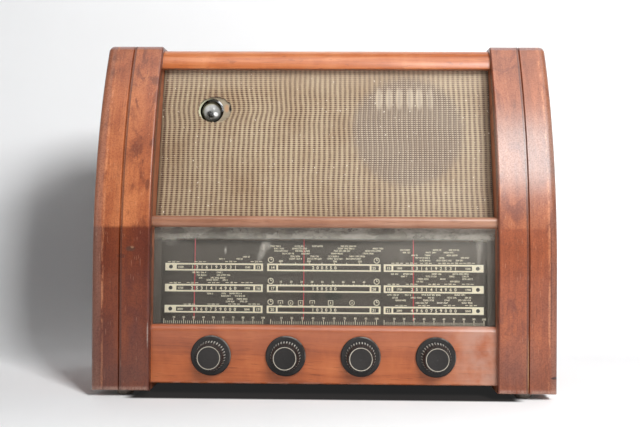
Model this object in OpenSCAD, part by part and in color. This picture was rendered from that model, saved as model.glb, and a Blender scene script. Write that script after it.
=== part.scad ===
// Table radio with valves: two curved wings hold a sloping grille, a long glass dial and four knobs.
// Millimetres. X runs to the right as seen from the front, Y runs into the radio, Z is up.
// The origin is under the middle of the radio, on the surface that it stands on.
// In the modules below, depth d is measured back from the foremost line of the wings.

/* [Cabinet] */
// Width over both wings
cab_w = 600; // [560:2:660]
// Height of the wings' tops above the surface
cab_h = 470; // [450:2:500]
// Depth from the wings' front to the rear edge
cab_d = 280; // [270:2:320]
// Height of the feet
foot_h = 10; // [6:1:16]
// Radius of a foot
foot_r = 11; // [8:1:16]
// Distance of a foot's centre from the front and rear edges
foot_inset = 34; // [28:1:60]
// Thickness of the sides and the lower boards
board_t = 10; // [8:1:12]
// How far the back cover lies inside the rear edge
back_inset = 3; // [2.5:0.5:8]
// Thickness of the back cover
back_t = 3; // [2:0.5:4]

/* [Wings] */
// Width of a wing
wing_w = 76; // [66:1:86]
// Thickness of the bent face, which is also the radius of its upper turn
face_t = 12; // [10:0.5:14]
// Height of the flat lower part of the face
flat_h = 150; // [130:2:170]
// Outer radius of the long bend
bend_r = 600; // [560:5:700]
// Radius of the outer long edge
edge_r = 8; // [4:0.5:9]
// Radius of the inner long edge and of the bottom edge
soft_r = 3; // [1:0.5:5]
// Distance of the groove from the outer edge
groove_x = 36.4; // [24:0.2:50]
// Width of the groove at the surface
groove_w = 2; // [1:0.2:4]
// Depth of the groove
groove_depth = 3; // [1:0.5:5]

/* [Top] */
// How far the top lies below the wings
top_drop = 4; // [2:1:8]
// Thickness of the top
top_t = 12; // [8:1:14]
// Height of the top rail
top_rail_h = 28; // [24:1:34]
// Radius of the top rail's front
top_rail_r = 26; // [18:1:28]
// Width of the rebate that holds the top
rebate_w = 12; // [8:1:16]

/* [Front] */
// How far the front panel and middle rail lie behind the wings
panel_inset = 12; // [8:1:16]
// Height of the panel's lower edge above the wings' lower edge
panel_lift = 8; // [4:1:12]
// Height of the front panel
panel_h = 76; // [70:1:84]
// Thickness of the front panel
panel_t = 14; // [12:1:16]
// Radius of the panel's upper front edge
panel_r = 8; // [4:0.5:9]
// Thickness of the base board
base_t = 12; // [10:1:14]
// Height of the dial opening
dial_h = 127; // [120:1:134]
// Height of the middle rail
mid_rail_h = 15; // [12:1:18]
// Radius of the middle rail's front edges
mid_rail_r = 6; // [3:0.5:6]
// Depth of the middle rail
mid_rail_t = 46; // [42:1:54]

/* [Grille] */
// Lean of the grille from upright
cloth_tilt = 15.5; // [13:0.5:17]
// Depth of the cloth's lower edge
cloth_inset = 38; // [34:1:42]
// Distance from the top rail's front back to the cloth
cloth_tuck = 14; // [10:1:18]
// Thickness of the cloth
cloth_t = 1.2; // [0.8:0.1:2]
// Thickness of the baffle board
baffle_t = 9; // [6:0.5:12]

/* [Speaker] */
// Distance of the speaker to the right of the middle
speaker_x = 113; // [95:1:125]
// Board left above the speaker's opening
speaker_above = 10; // [8:1:16]
// Board left below the speaker's opening
speaker_below = 36; // [30:1:60]
// Width of the rim around the opening
speaker_rim = 10; // [7:0.5:12]
// Depth of the speaker's basket
basket_h = 52; // [40:1:60]
// Radius of the basket's rear plate
basket_back_r = 40; // [34:1:46]
// Thickness of the basket's steel
basket_t = 1.5; // [1:0.1:2.5]
// Number of windows in the basket
basket_windows = 6; // [4:1:8]
// Thickness of the paper cone
cone_t = 0.8; // [0.6:0.1:1.5]
// Radius of the voice coil's former
coil_r = 13; // [10:0.5:16]
// Radius of the magnet
magnet_r = 34; // [26:1:38]
// Length of the magnet
magnet_h = 32; // [24:1:40]

/* [Tuning eye] */
// Distance of the eye to the left of the middle
eye_x = 157; // [145:1:165]
// Distance of the eye's middle below the top rail
eye_drop = 58; // [48:1:73]
// Radius of the hole in the cloth and baffle
eye_hole_r = 17.5; // [16.5:0.5:20]
// Radius of the tear beside the hole in the cloth
eye_tear_r = 14; // [10:0.5:15]
// Distance of the tear from the middle of the hole
eye_tear_x = 13; // [10:0.5:14]
// Radius of the eye's bulb
eye_r = 14.3; // [13:0.1:15]
// Length of the eye's bulb
eye_l = 52; // [46:1:64]
// Radius of the eye's dark centre disc
eye_disc_r = 5.5; // [4:0.5:7]

/* [Dial] */
// Lean of the dial from upright
dial_tilt = 4; // [2:0.5:5]
// Depth of the glass at its lower edge
glass_inset = 20; // [20:0.5:22]
// Thickness of the glass
glass_t = 3; // [2:0.5:4]
// Height of the dark strip behind the glass's upper edge
mask_h = 15; // [14:0.5:18]
// Width of the strips behind the glass's ends
mask_w = 10; // [6:0.5:12]
// Thickness of these strips
mask_t = 1; // [0.5:0.1:1.5]
// Distance from the glass's front to the back plate
plate_gap = 14; // [13:0.5:16]
// Thickness of the back plate and its brackets
plate_t = 1; // [0.8:0.1:1.5]

/* [Pointers] */
// Number of pointers
pointer_n = 3; // [2:1:3]
// Distance between two pointers
pointer_pitch = 144; // [130:1:150]
// Place of the left pointer
pointer_x = -170.4; // [-174:0.2:-166]
// Width of a pointer
pointer_w = 1.2; // [0.8:0.1:2]
// Thickness of a pointer
pointer_t = 0.8; // [0.5:0.1:1.2]
// Distance from the glass's front to a pointer
pointer_gap = 6; // [5.5:0.5:7]
// Height of a pointer's tip above the dial's lower edge
pointer_lift = 6; // [3:1:10]
// Thickness of the bar that the pointers hang from
bar_t = 2; // [1:0.5:3]
// Radius of the rail that the bar slides on
rail_r = 2; // [1.5:0.1:2.5]

/* [Drive] */
// Radius at which the cord runs on the drum
drum_r = 41.4; // [38:0.2:42]
// Width of the drum's rim
drum_w = 10; // [9:0.5:12]
// Distance between the drum's two cords
cord_pitch = 4; // [3.5:0.5:5]
// Radius of a cord
cord_r = 0.5; // [0.4:0.1:0.6]
// Gap between a cord and the groove that it runs in
cord_gap = 0.3; // [0.2:0.1:0.5]
// Gap between the back plate and the drum
drive_gap = 2; // [1.5:0.5:4]
// Gap between the drum and the chassis
drum_gap = 6; // [5:0.5:10]
// Radius at which the cord runs on a guide pulley
pulley_r = 8; // [6:0.5:9]
// Distance of a guide pulley from the end of the dial
pulley_inset = 16; // [14:0.5:20]

/* [Knobs] */
// Distance between two knobs
knob_pitch = 97; // [88:0.5:100]
// Height of the knobs' middles
knob_z = 55; // [52:1:60]
// Radius of a knob's skirt
skirt_r = 26; // [24:0.5:28]
// Thickness of the skirt
skirt_t = 3.5; // [2.5:0.5:5]
// Radius of the grip where it meets the skirt
grip_r0 = 19.5; // [18:0.5:22]
// Radius of the grip at its front
grip_r1 = 16.5; // [16:0.25:17.5]
// Height of a knob
knob_h = 24; // [20:1:28]
// Number of flutes in the grip
flutes = 32; // [24:1:36]
// Radius of a flute
flute_r = 1.3; // [1:0.1:1.4]
// Outer radius of the inlaid ring
ring_r = 15; // [14:0.25:15.25]
// Width of the inlaid ring
ring_w = 1.8; // [1:0.1:2.5]
// Depth of the ring's seat
ring_t = 1; // [0.6:0.1:1.6]
// Depth of the dish in the knob's front
dish_depth = 1; // [0.4:0.1:1.2]
// Radius of a spindle
spindle_r = 3.175; // [3:0.025:3.5]
// Gap between a knob and the front panel
knob_gap = 1.5; // [1:0.5:3]

/* [Chassis] */
// Gap between the chassis and the inner side beside it
chassis_gap = 19; // [14:1:29]
// Depth of the chassis
chassis_depth = 190; // [184:1:196]
// Height of the chassis
chassis_h = 62; // [58:1:68]
// Thickness of the chassis' steel
sheet_t = 1.5; // [1:0.1:2]
// Width of the flanges that stand on the base board
flange_w = 14; // [12:1:18]
// Distance from the chassis' front to the front row of valves and cans
front_row = 45; // [42:1:48]
// Distance from the chassis' front to the rear row
rear_row = 138; // [132:1:144]
// Radius of a screw's shank
screw_r = 2; // [1.5:0.1:2.5]

/* [Tuning capacitor] */
// Height of the drum's shaft above the chassis
shaft_h = 27; // [26:0.5:32]
// Radius of the moving plates
vane_r = 22; // [18:0.5:23]
// Thickness of a plate
vane_t = 1; // [0.6:0.1:1.2]
// Distance between two plates of one set
vane_pitch = 4; // [3.6:0.2:4.4]
// Number of moving plates in each of the two sections
vane_n = 7; // [5:1:8]
// Width of the capacitor's frame
gang_w = 60; // [58:1:66]
// Angle from the fully meshed plates to where they stand, a third of the way along the dial
rest_turn = 55.8; // [40:0.2:70]

/* [Back cover] */
// Width of a slot
slot_w = 9; // [5:0.5:10]
// Distance between two slots
slot_pitch = 16; // [13:0.5:18]
// Height of a slot
slot_h = 35; // [20:1:45]
// Number of slots in a row
slot_n = 22; // [12:1:24]
// Height of the upper row's middle
upper_slots_z = 422; // [400:1:426]
// Height of the lower row's middle
lower_slots_z = 130; // [120:1:200]
// Distance of the sockets from the middle, on the left as seen from the front
socket_x = 110; // [90:1:130]
// Distance between two sockets
socket_pitch = 19; // [17:0.5:22]
// Radius of a socket's bore
socket_r = 2; // [1.8:0.1:2.2]
// Height of the sockets and the grommet
socket_z = 66; // [58:1:76]
// Distance of the grommet from the middle, on the right as seen from the front
grommet_x = 150; // [130:1:170]
// Radius of the grommet's bore
grommet_r = 4; // [3:0.5:5]

/* [Fits] */
// Gap around what lies loosely in its seat
fit_gap = 0.4; // [0.2:0.1:0.8]
// Gap around what turns or slides
run_gap = 0.06; // [0.03:0.01:0.1]

/* [Hidden] */
$fn = 48;
long_fn = 360;
bay_w = cab_w - 2 * wing_w;
bend_z = foot_h + flat_h;
// The long bend's angle, in whole ten-thousandths of a degree
bend_a = round(asin((cab_h - bend_z - face_t) / (bend_r - face_t)) * 1e4) / 1e4;
nose_d = bend_r - (bend_r - face_t) * cos(bend_a);
inner_d = cab_d - back_inset - back_t;
top_z = cab_h - top_drop;
top_rail_z = top_z - top_rail_h;
chassis_w = bay_w - 2 * chassis_gap;
eye_z = top_rail_z - eye_drop;
panel_z = foot_h + panel_lift;
base_z = panel_z + base_t;
dial_z = panel_z + panel_h;
mid_rail_z = dial_z + dial_h;
cloth_z = mid_rail_z + mid_rail_h;
speaker_hole_r = (top_rail_z - cloth_z - speaker_above - speaker_below) / 2;
speaker_z = top_rail_z - speaker_above - speaker_hole_r;
top_rail_d = cloth_d(top_rail_z) - cloth_tuck;
baffle_d = cloth_inset + cloth_t / cos(cloth_tilt);
knob_d = panel_inset - knob_gap;
knob_reach = knob_h - knob_d;
mid_shift = (knob_reach - cab_d) / 2;
rail_z = mid_rail_z - 9;
bar_gap = pointer_gap + pointer_t;
rail_d = dial_d(rail_z, bar_gap + bar_t) + 1 + rail_r;
drive_d = dial_d(mid_rail_z, plate_gap + plate_t) + drive_gap;
pointer_cord_d = drive_d + (drum_w - cord_pitch) / 2;
drive_cord_d = pointer_cord_d + cord_pitch;
chassis_d = drive_d + drum_w + drum_gap;
chassis_back = chassis_d + chassis_depth;
deck_z = base_z + chassis_h;
shaft_z = deck_z + shaft_h;
pulley_x = bay_w / 2 - pulley_inset;
pulley_z = rail_z - pulley_r;
tuning_x = knob_pitch / 2;
waist_r = spindle_r - cord_r - cord_gap;
block_h = 9;
// Tall parts on the chassis, from left to right: distance from the middle
front_valves_x = [-130, 75];
rear_valves_x = [-160, -50];
front_cans_x = [-78];
rear_cans_x = [-105];
rectifier_x = 57;
smoother_x = 4;
mains_x = 143;
output_x = 143;
base_screw_x = 100;
side_screw_x = bay_w / 2 + board_t / 2;
side_screw_inset = 30;
side_screws_z = [base_z + side_screw_inset, (base_z + top_z) / 2, top_z - top_t - side_screw_inset];
screw_l = 10;
bolt_x = chassis_w / 2 - 35;
strip_h = 24;
lamp_x = 120;
lamp_drop = 9;
lamp_r = 4.5;
lamp_cap_l = 15;
lamp_holder_r = 6;
lamp_holder_l = 12;
tone_l = 14;
volume_l = 16;
bearing_l = 8;
bolts_d = [chassis_d + sheet_t + flange_w / 2, chassis_back - sheet_t - flange_w / 2];
bracket_t = 2;
bracket_back = pointer_cord_d + 9;
gang_d = chassis_d + 4;
section_l = vane_n * vane_pitch;
gang_plate = 2;
gang_l = 2 * section_l + 3 * gang_plate + 4;
// Fronts of the two sections
sections_d = [gang_d + gang_plate + 1, gang_d + gang_plate * 2 + section_l + 3];
frame_h = shaft_h + vane_r + 3;
mains_size = [84, 62, 70];
output_size = [52, 40, 44];
mains_at = [mains_x, chassis_d + rear_row, deck_z];
output_at = [output_x, chassis_d + front_row, deck_z];
valve_base_h = 30;
valve_r = 16;
rectifier_r = 20;
valve_h = 76;
// Each valve: [x, depth, radius]
valves = [
  for (x = front_valves_x) [x, chassis_d + front_row, valve_r],
  for (x = rear_valves_x) [x, chassis_d + rear_row, valve_r],
  [rectifier_x, chassis_d + rear_row, rectifier_r]
];
eye_d = cloth_d(eye_z) + 1;
eye_base_h = 22;
bush_r = 4.75;
control_r = 12;
nut_h = 2.5;
spindle_front = knob_d - knob_h + 8 + fit_gap;
spindle_tail = 10;
wafer_tail = 44;

// Depth of the cloth's front at height z
function cloth_d(z) = cloth_inset + (z - cloth_z) * tan(cloth_tilt);
// Depth at height z of a plane that lies a distance behind the front of the dial glass
function dial_d(z, behind) = glass_inset + (z - dial_z) * tan(dial_tilt) + behind / cos(dial_tilt);
// Depth of the baffle's rear face at height z
function baffle_back(z) = cloth_d(z) + (cloth_t + baffle_t) / cos(cloth_tilt);
// Place of knob i, counted from the left
function knob_x(i) = (i - 1.5) * knob_pitch;

// Puts a piece drawn from the wings' front into the radio's own frame
module placed() {
  translate([0, mid_shift, 0]) children();
}

// Moves by whole millimetres, then thousandths, then the rest, so that no small digits are lost
module stepwise(move) {
  whole = [for (c = move) round(c)];
  fine = [for (c = move - whole) round(c * 1000) / 1000];
  translate(whole) translate(fine) translate(move - whole - fine) children();
}

// A bar along X with its outline drawn in depth and height
module along_x(x0, x1) {
  translate([x0, 0, 0]) rotate([90, 0, 90]) linear_extrude(x1 - x0) children();
}

// A plate between two depths with its outline drawn in x and height
module facing(d0, d1) {
  translate([0, d1, 0]) rotate([90, 0, 0]) linear_extrude(d1 - d0) children();
}

// A round bar along the depth
module pin(x, z, d0, d1, r) {
  translate([x, d1, z]) rotate([90, 0, 0]) cylinder(h = d1 - d0, r = r);
}

// A leaning sheet, cut level at its lower and upper edges
module leaning(d, z0, z1, tilt, t, x0, x1) {
  thick = t / cos(tilt);
  back = (z1 - z0) * tan(tilt);
  along_x(x0, x1) polygon([[d, z0], [d + thick, z0], [d + thick + back, z1], [d + back, z1]]);
}

// What a rounded corner loses: the corner is at the origin and the material above and to the right
module corner_cut(r) {
  difference() {
    translate([-1, -1]) square(r + 1);
    translate([r, r]) circle(r);
  }
}

// A rail's section, rounded at its two front corners
module rail_2d(depth, height, low_r, high_r) {
  difference() {
    square([depth, height]);
    corner_cut(low_r);
    translate([0, height]) mirror([0, 1]) corner_cut(high_r);
  }
}

// Wings

// Section of the bent face: x runs outwards through its thickness, y from its outer to its inner edge
module face_section(radius) {
  translate([radius - face_t, 0]) difference() {
    square([face_t, wing_w]);
    translate([face_t, 0]) mirror([1, 0]) corner_cut(edge_r);
    translate([face_t, wing_w]) rotate(180) corner_cut(soft_r);
    translate([face_t, groove_x])
      polygon([[-groove_depth, 0], [groove_depth, -groove_w], [groove_depth, groove_w]]);
  }
}

// The right wing's face: one section carried up the flat front, round the long bend,
// over the tight upper turn and back along the top
module wing_face() {
  difference() {
    translate([cab_w / 2, bend_r, bend_z]) rotate([90, 0, -90]) {
      rotate([90, 0, 0]) linear_extrude(flat_h) face_section(bend_r);
      rotate_extrude(angle = bend_a, $fn = long_fn) face_section(bend_r);
      stepwise((bend_r - face_t) * [cos(bend_a), sin(bend_a), 0]) {
        rotate_extrude(angle = 90 - bend_a, start = bend_a) face_section(face_t);
        mirror([1, 0, 0]) rotate([90, 0, 90]) linear_extrude(cab_d - nose_d) face_section(face_t);
      }
    }
    along_x(bay_w / 2 - 1, cab_w / 2 + 1) translate([0, foot_h]) corner_cut(soft_r);
  }
}

// The space behind the bent face, in depth and height
module wing_inside(back) {
  intersection() {
    translate([face_t, foot_h]) square([back - face_t, cab_h - face_t - foot_h]);
    union() {
      translate([0, foot_h]) square([back, flat_h]);
      translate([bend_r, bend_z]) circle(bend_r - face_t, $fn = long_fn);
    }
  }
}

module left_wing_face() {
  color("sienna") placed() mirror([1, 0, 0]) wing_face();
}

module right_wing_face() {
  color("sienna") placed() wing_face();
}

module outer_side() {
  along_x(cab_w / 2 - board_t, cab_w / 2) wing_inside(cab_d);
}

module left_outer_side() {
  color("saddlebrown") placed() mirror([1, 0, 0]) outer_side();
}

module right_outer_side() {
  color("saddlebrown") placed() outer_side();
}

// The wall between a wing and the middle, drilled at its rear edge for the cover's screws
module inner_side() {
  difference() {
    along_x(bay_w / 2, bay_w / 2 + board_t) wing_inside(inner_d);
    for (z = side_screws_z) pin(side_screw_x, z, inner_d - screw_l - 1, inner_d + 1, screw_r + run_gap);
  }
}

module left_inner_side() {
  color("peru") placed() mirror([1, 0, 0]) inner_side();
}

module right_inner_side() {
  color("peru") placed() inner_side();
}

// Boards, rails and feet

// The base board between the inner sides and the lower board in each wing
module base_boards() {
  color("burlywood") placed() {
    difference() {
      translate([-bay_w / 2, panel_inset + panel_t, panel_z])
        cube([bay_w, inner_d - panel_inset - panel_t, base_t]);
      for (x = [-bolt_x, bolt_x], d = bolts_d)
        translate([x, d, panel_z - 1]) cylinder(h = base_t + 2, r = screw_r + run_gap);
      for (x = [-base_screw_x, base_screw_x])
        pin(x, panel_z + base_t / 2, inner_d - screw_l - 1, inner_d + 1, screw_r + run_gap);
    }
    for (side = [0, 1]) mirror([side, 0, 0])
      translate([bay_w / 2 + board_t, face_t, foot_h])
        cube([wing_w - 2 * board_t, inner_d - face_t, board_t]);
  }
}

module top_panel() {
  color("chocolate") placed()
    translate([-bay_w / 2, top_rail_d + top_rail_r, top_z - top_t])
      cube([bay_w, cab_d - top_rail_d - top_rail_r, top_t]);
}

module top_rail() {
  color("chocolate") placed() along_x(-bay_w / 2, bay_w / 2)
    translate([top_rail_d, top_rail_z]) difference() {
      rail_2d(top_rail_r + rebate_w, top_rail_h, 1, top_rail_r);
      translate([top_rail_r, top_rail_h - top_t]) square([rebate_w + 1, top_t + 1]);
    }
}

module middle_rail() {
  color("sienna") placed() along_x(-bay_w / 2, bay_w / 2)
    translate([panel_inset, mid_rail_z]) rail_2d(mid_rail_t, mid_rail_h, mid_rail_r, mid_rail_r);
}

module front_panel() {
  color("sienna") placed() difference() {
    along_x(-bay_w / 2, bay_w / 2)
      translate([panel_inset, panel_z]) rail_2d(panel_t, panel_h, soft_r, panel_r);
    for (i = [0 : 3])
      pin(knob_x(i), knob_z, panel_inset - 1, panel_inset + panel_t + 1, spindle_r + 3);
  }
}

module baffle_board() {
  color("tan") placed() difference() {
    leaning(baffle_d, cloth_z, top_rail_z, cloth_tilt, baffle_t, -bay_w / 2, bay_w / 2);
    pin(-eye_x, eye_z, 0, cab_d, eye_hole_r);
    on_baffle(speaker_x, speaker_z) translate([0, 0, -3 * baffle_t])
      cylinder(h = 4 * baffle_t, r = speaker_hole_r);
  }
}

// The cloth has a hole for the eye and a tear beside it
module grille_cloth() {
  color("darkkhaki") placed() difference() {
    leaning(cloth_inset, cloth_z, top_rail_z, cloth_tilt, cloth_t, -bay_w / 2, bay_w / 2);
    pin(-eye_x, eye_z, 0, cab_d, eye_hole_r);
    pin(-eye_x + eye_tear_x, eye_z, 0, cab_d, eye_tear_r);
  }
}

module feet() {
  color("dimgray") placed()
    for (x = [-1, 1] * (cab_w - wing_w) / 2, d = [foot_inset, cab_d - foot_inset])
      translate([x, d, 0]) rotate_extrude() polygon([
        [0, 0], [foot_r - 2, 0], [foot_r, 2], [foot_r, foot_h], [0, foot_h]
      ]);
}

// Back cover and what it carries

// One row of upright slots
module slot_row(z) {
  for (i = [0 : slot_n - 1])
    translate([(i - (slot_n - 1) / 2) * slot_pitch - slot_w / 2, z - slot_h / 2])
      square([slot_w, slot_h]);
}

module back_cover() {
  color("tan") placed() difference() {
    facing(inner_d, inner_d + back_t) difference() {
      translate([fit_gap + board_t - cab_w / 2, panel_z])
        square([cab_w - 2 * (board_t + fit_gap), top_z - top_t - fit_gap - panel_z]);
      slot_row(upper_slots_z);
      slot_row(lower_slots_z);
    }
    for (side = [-1, 1], z = side_screws_z)
      pin(side * side_screw_x, z, inner_d - 1, cab_d, screw_r + run_gap);
    for (x = [-base_screw_x, base_screw_x])
      pin(x, panel_z + base_t / 2, inner_d - 1, cab_d, screw_r + run_gap);
    for (i = [0 : 3]) pin(socket_at(i), socket_z, inner_d - 1, cab_d, socket_r + 2);
    pin(grommet_x, socket_z, inner_d - 1, cab_d, grommet_r + 2.5);
  }
}

// A screw with a domed head, its tip at the origin and its head up
module screw(length) {
  cylinder(h = length, r = screw_r);
  translate([0, 0, length]) intersection() {
    translate([0, 0, -screw_r]) sphere(screw_r * 2.2);
    translate([-10, -10, 0]) cube([20, 20, back_inset - 0.5]);
  }
}

// A bolt through the base board and the chassis' flange, its head below
module chassis_bolt() {
  stack = base_t + sheet_t;
  cylinder(h = stack + 4, r = screw_r);
  translate([0, 0, -2.5]) cylinder(h = 2.5, r = screw_r * 2.2);
  translate([0, 0, stack]) cylinder(h = 3, r = screw_r * 2.2, $fn = 6);
}

module screws() {
  color("silver") placed() {
    for (side = [-1, 1], z = side_screws_z)
      translate([side * side_screw_x, inner_d - screw_l, z]) rotate([-90, 0, 0]) screw(screw_l + back_t);
    for (x = [-base_screw_x, base_screw_x])
      translate([x, inner_d - screw_l, panel_z + base_t / 2]) rotate([-90, 0, 0])
        screw(screw_l + back_t);
    for (x = [-bolt_x, bolt_x], d = bolts_d) translate([x, d, panel_z]) chassis_bolt();
  }
}

// The inlet that a mains lead would pass through
module mains_grommet() {
  lip = 2.5;
  color("black") placed() translate([grommet_x, inner_d + back_t, socket_z]) rotate([-90, 0, 0])
    rotate_extrude() difference() {
      union() {
        translate([grommet_r, 0]) square([2 * lip, lip]);
        translate([grommet_r, -back_t]) square([lip - run_gap, back_t]);
        translate([grommet_r, -back_t - lip]) square([2 * lip, lip]);
      }
      translate([grommet_r, lip]) mirror([0, 1]) corner_cut(1);
    }
}

// Place of socket i in the strip
function socket_at(i) = -socket_x + (i - 1.5) * socket_pitch;

// Aerial, earth and loudspeaker sockets on their strip
module socket_strip() {
  strip_t = 2;
  wall = 1.8;
  color("saddlebrown") placed() difference() {
    union() {
      facing(inner_d - strip_t, inner_d)
        translate([-socket_x - 2 * socket_pitch, socket_z - strip_h / 2])
          square([4 * socket_pitch, strip_h]);
      for (i = [0 : 3])
        pin(socket_at(i), socket_z, inner_d - 12, cab_d - 1, socket_r + wall);
    }
    for (i = [0 : 3]) pin(socket_at(i), socket_z, inner_d - 13, cab_d, socket_r);
  }
}

// Dial

// A leaning sheet that lies a distance behind the front of the glass
module dial_sheet(behind, t, z0, z1, x0, x1) {
  leaning(dial_d(z0, behind), z0, z1, dial_tilt, t, x0, x1);
}

module dial_glass() {
  color("lightcyan", 0.4) placed()
    dial_sheet(0, glass_t, dial_z, mid_rail_z, -bay_w / 2, bay_w / 2);
}

// Strips that hide the works: one along the top and one at each end
module dial_mask() {
  color("dimgray") placed() {
    dial_sheet(glass_t, mask_t, mid_rail_z - mask_h, mid_rail_z, -bay_w / 2, bay_w / 2);
    for (side = [0, 1]) mirror([side, 0, 0])
      dial_sheet(glass_t, mask_t, dial_z, mid_rail_z - mask_h - fit_gap, bay_w / 2 - mask_w, bay_w / 2);
  }
}

module dial_backplate() {
  half = bay_w / 2 - bracket_t;
  color("darkslategray") placed()
    dial_sheet(plate_gap, plate_t, dial_z - 8, rail_z - block_h, -half, half);
}

// One end bracket: a plate on the side wall, the rail's hole, and a flange with the pulley's post
module dial_bracket() {
  difference() {
    union() {
      along_x(bay_w / 2 - bracket_t, bay_w / 2)
        polygon([
          [dial_d(dial_z, plate_gap - 3), dial_z - 8], [bracket_back, dial_z - 8],
          [bracket_back, mid_rail_z - 2], [dial_d(mid_rail_z, plate_gap - 6), mid_rail_z - 2]
        ]);
      facing(bracket_back - bracket_t, bracket_back)
        translate([pulley_x - 6, pulley_z - 6]) square([pulley_inset + 6, 12]);
      pin(pulley_x, pulley_z, pointer_cord_d - 3.5, bracket_back, 2);
      pin(pulley_x, pulley_z, pointer_cord_d - 4.5, pointer_cord_d - 3, 3.2);
    }
    pin_x(rail_z, rail_d, bay_w / 2 - bracket_t - 1, bay_w / 2, rail_r + run_gap);
  }
}

// A round bar along X
module pin_x(z, d, x0, x1, r) {
  translate([x0, d, z]) rotate([0, 90, 0]) cylinder(h = x1 - x0, r = r);
}

module dial_brackets() {
  color("silver") placed() {
    dial_bracket();
    mirror([1, 0, 0]) dial_bracket();
  }
}

// Two lamps on the chassis' front that light the glass's lower edge
module dial_lamps() {
  color("gold") placed() for (x = [-1, 1] * lamp_x)
    translate([x, chassis_d, deck_z - lamp_drop]) rotate([90, 0, 0]) {
      cylinder(h = lamp_holder_l, r = lamp_holder_r);
      cylinder(h = lamp_cap_l, r = lamp_r);
      translate([0, 0, lamp_cap_l]) bulb(lamp_r, 2 * lamp_r);
    }
}

// A rounded bulb standing on the origin
module bulb(r, length) {
  cylinder(h = length - r, r = r);
  translate([0, 0, length - r]) intersection() {
    sphere(r);
    translate([-r, -r, 0]) cube([2 * r, 2 * r, r]);
  }
}

// Pointers

module carriage_rail() {
  color("silver") placed() pin_x(rail_z, rail_d, -bay_w / 2 + fit_gap, bay_w / 2 - fit_gap, rail_r);
}

// The bar with two saddles on the rail and a longer block that also grips the pointer cord
module pointer_carriage() {
  bar_x0 = pointer_x - 6;
  bar_x1 = pointer_x + (pointer_n - 1) * pointer_pitch + 6;
  saddle_w = 14;
  back_d = rail_d + rail_r + 2.5;
  front_d = dial_d(rail_z, bar_gap + bar_t / 2);
  color("gray") placed() difference() {
    union() {
      dial_sheet(bar_gap, bar_t, mid_rail_z - mask_h + 0.5, rail_z + block_h / 2, bar_x0, bar_x1);
      for (x = [bar_x0 + 10, bar_x1 - 10 - saddle_w])
        translate([x, front_d, rail_z - block_h / 2]) cube([saddle_w, back_d - front_d, block_h]);
      translate([(bar_x0 + bar_x1 - saddle_w) / 2, front_d, rail_z - block_h / 2])
        cube([saddle_w, pointer_cord_d + 2.5 - front_d, block_h]);
    }
    pin_x(rail_z, rail_d, bar_x0 - 1, bar_x1 + 1, rail_r + run_gap);
    pin_x(rail_z, pointer_cord_d, bar_x0 - 1, bar_x1 + 1, cord_r + cord_gap);
  }
}

module pointers() {
  color("firebrick") placed() for (i = [0 : pointer_n - 1]) {
    x = pointer_x + i * pointer_pitch;
    dial_sheet(pointer_gap, pointer_t, dial_z + pointer_lift, rail_z, x - pointer_w / 2, x + pointer_w / 2);
  }
}

// Cord drive

// A groove that leaves a gap under a cord running at radius r: the cut section, for a revolve
module groove_2d(r) {
  floor_r = r - cord_r - cord_gap;
  half = cord_r + cord_gap;
  polygon([[floor_r, -half], [r + 5, -half - 1.2], [r + 5, half + 1.2], [floor_r, half]]);
}

module drive_drum() {
  rim = 4;
  hub_r = 9;
  color("wheat") placed() translate([0, drive_d, shaft_z]) rotate([-90, 0, 0]) difference() {
    rotate_extrude($fn = 96) difference() {
      union() {
        translate([spindle_r + run_gap, 0]) square([hub_r - spindle_r - run_gap, drum_w]);
        translate([hub_r, drum_w / 2 - 1]) square([drum_r - rim - hub_r, 2]);
        translate([drum_r - rim, 0]) square([rim + 2, drum_w]);
      }
      translate([0, pointer_cord_d - drive_d]) groove_2d(drum_r);
      translate([0, drive_cord_d - drive_d]) groove_2d(drum_r);
    }
    for (i = [0 : 4]) rotate([0, 0, 72 * i]) translate([(hub_r + drum_r - rim) / 2, 0, -1])
      cylinder(h = drum_w + 2, r = 8.5);
  }
}

// Direction, seen from a wheel's middle, in which a cord leaves wheel a for wheel b: [x, z, radius]
function leave_angle(a, b) =
  atan2(b[1] - a[1], b[0] - a[0]) - acos((a[2] - b[2]) / norm([b[0] - a[0], b[1] - a[1]]));
function turn_between(from, to) = (to - from + 720) % 360;

// Stations of a cord that goes round all wheels: [x, z, radius, angle]
function cord_stations(wheels, step = 12) = [
  for (i = [0 : len(wheels) - 1])
    let (
      n = len(wheels),
      before = wheels[(i + n - 1) % n],
      after = wheels[(i + 1) % n],
      from = leave_angle(before, wheels[i]),
      turn = turn_between(from, leave_angle(wheels[i], after)),
      steps = max(2, ceil(turn / step))
    )
    for (k = [0 : steps]) [wheels[i][0], wheels[i][1], wheels[i][2], from + turn * k / steps]
];

// A closed cord round the wheels, in the upright plane at depth d
module cord_loop(wheels, d) {
  sides = 6;
  stations = cord_stations(wheels);
  count = len(stations);
  points = [
    for (s = stations, k = [0 : sides - 1])
      let (a = 360 * k / sides, reach = s[2] + cord_r * cos(a))
      [s[0] + reach * cos(s[3]), d + cord_r * sin(a), s[1] + reach * sin(s[3])]
  ];
  faces = [
    for (i = [0 : count - 1], k = [0 : sides - 1])
      let (j = (i + 1) % count, m = (k + 1) % sides)
      each [
        [i * sides + k, j * sides + k, j * sides + m],
        [i * sides + k, j * sides + m, i * sides + m]
      ]
  ];
  polyhedron(points = points, faces = faces);
}

// One cord joins the tuning spindle and the drum, the other carries the pointers
module drive_cords() {
  drum = [0, shaft_z, drum_r];
  color("linen") placed() {
    cord_loop([drum, [tuning_x, knob_z, spindle_r]], drive_cord_d);
    cord_loop([drum, [pulley_x, pulley_z, pulley_r], [-pulley_x, pulley_z, pulley_r]], pointer_cord_d);
  }
}

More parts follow.
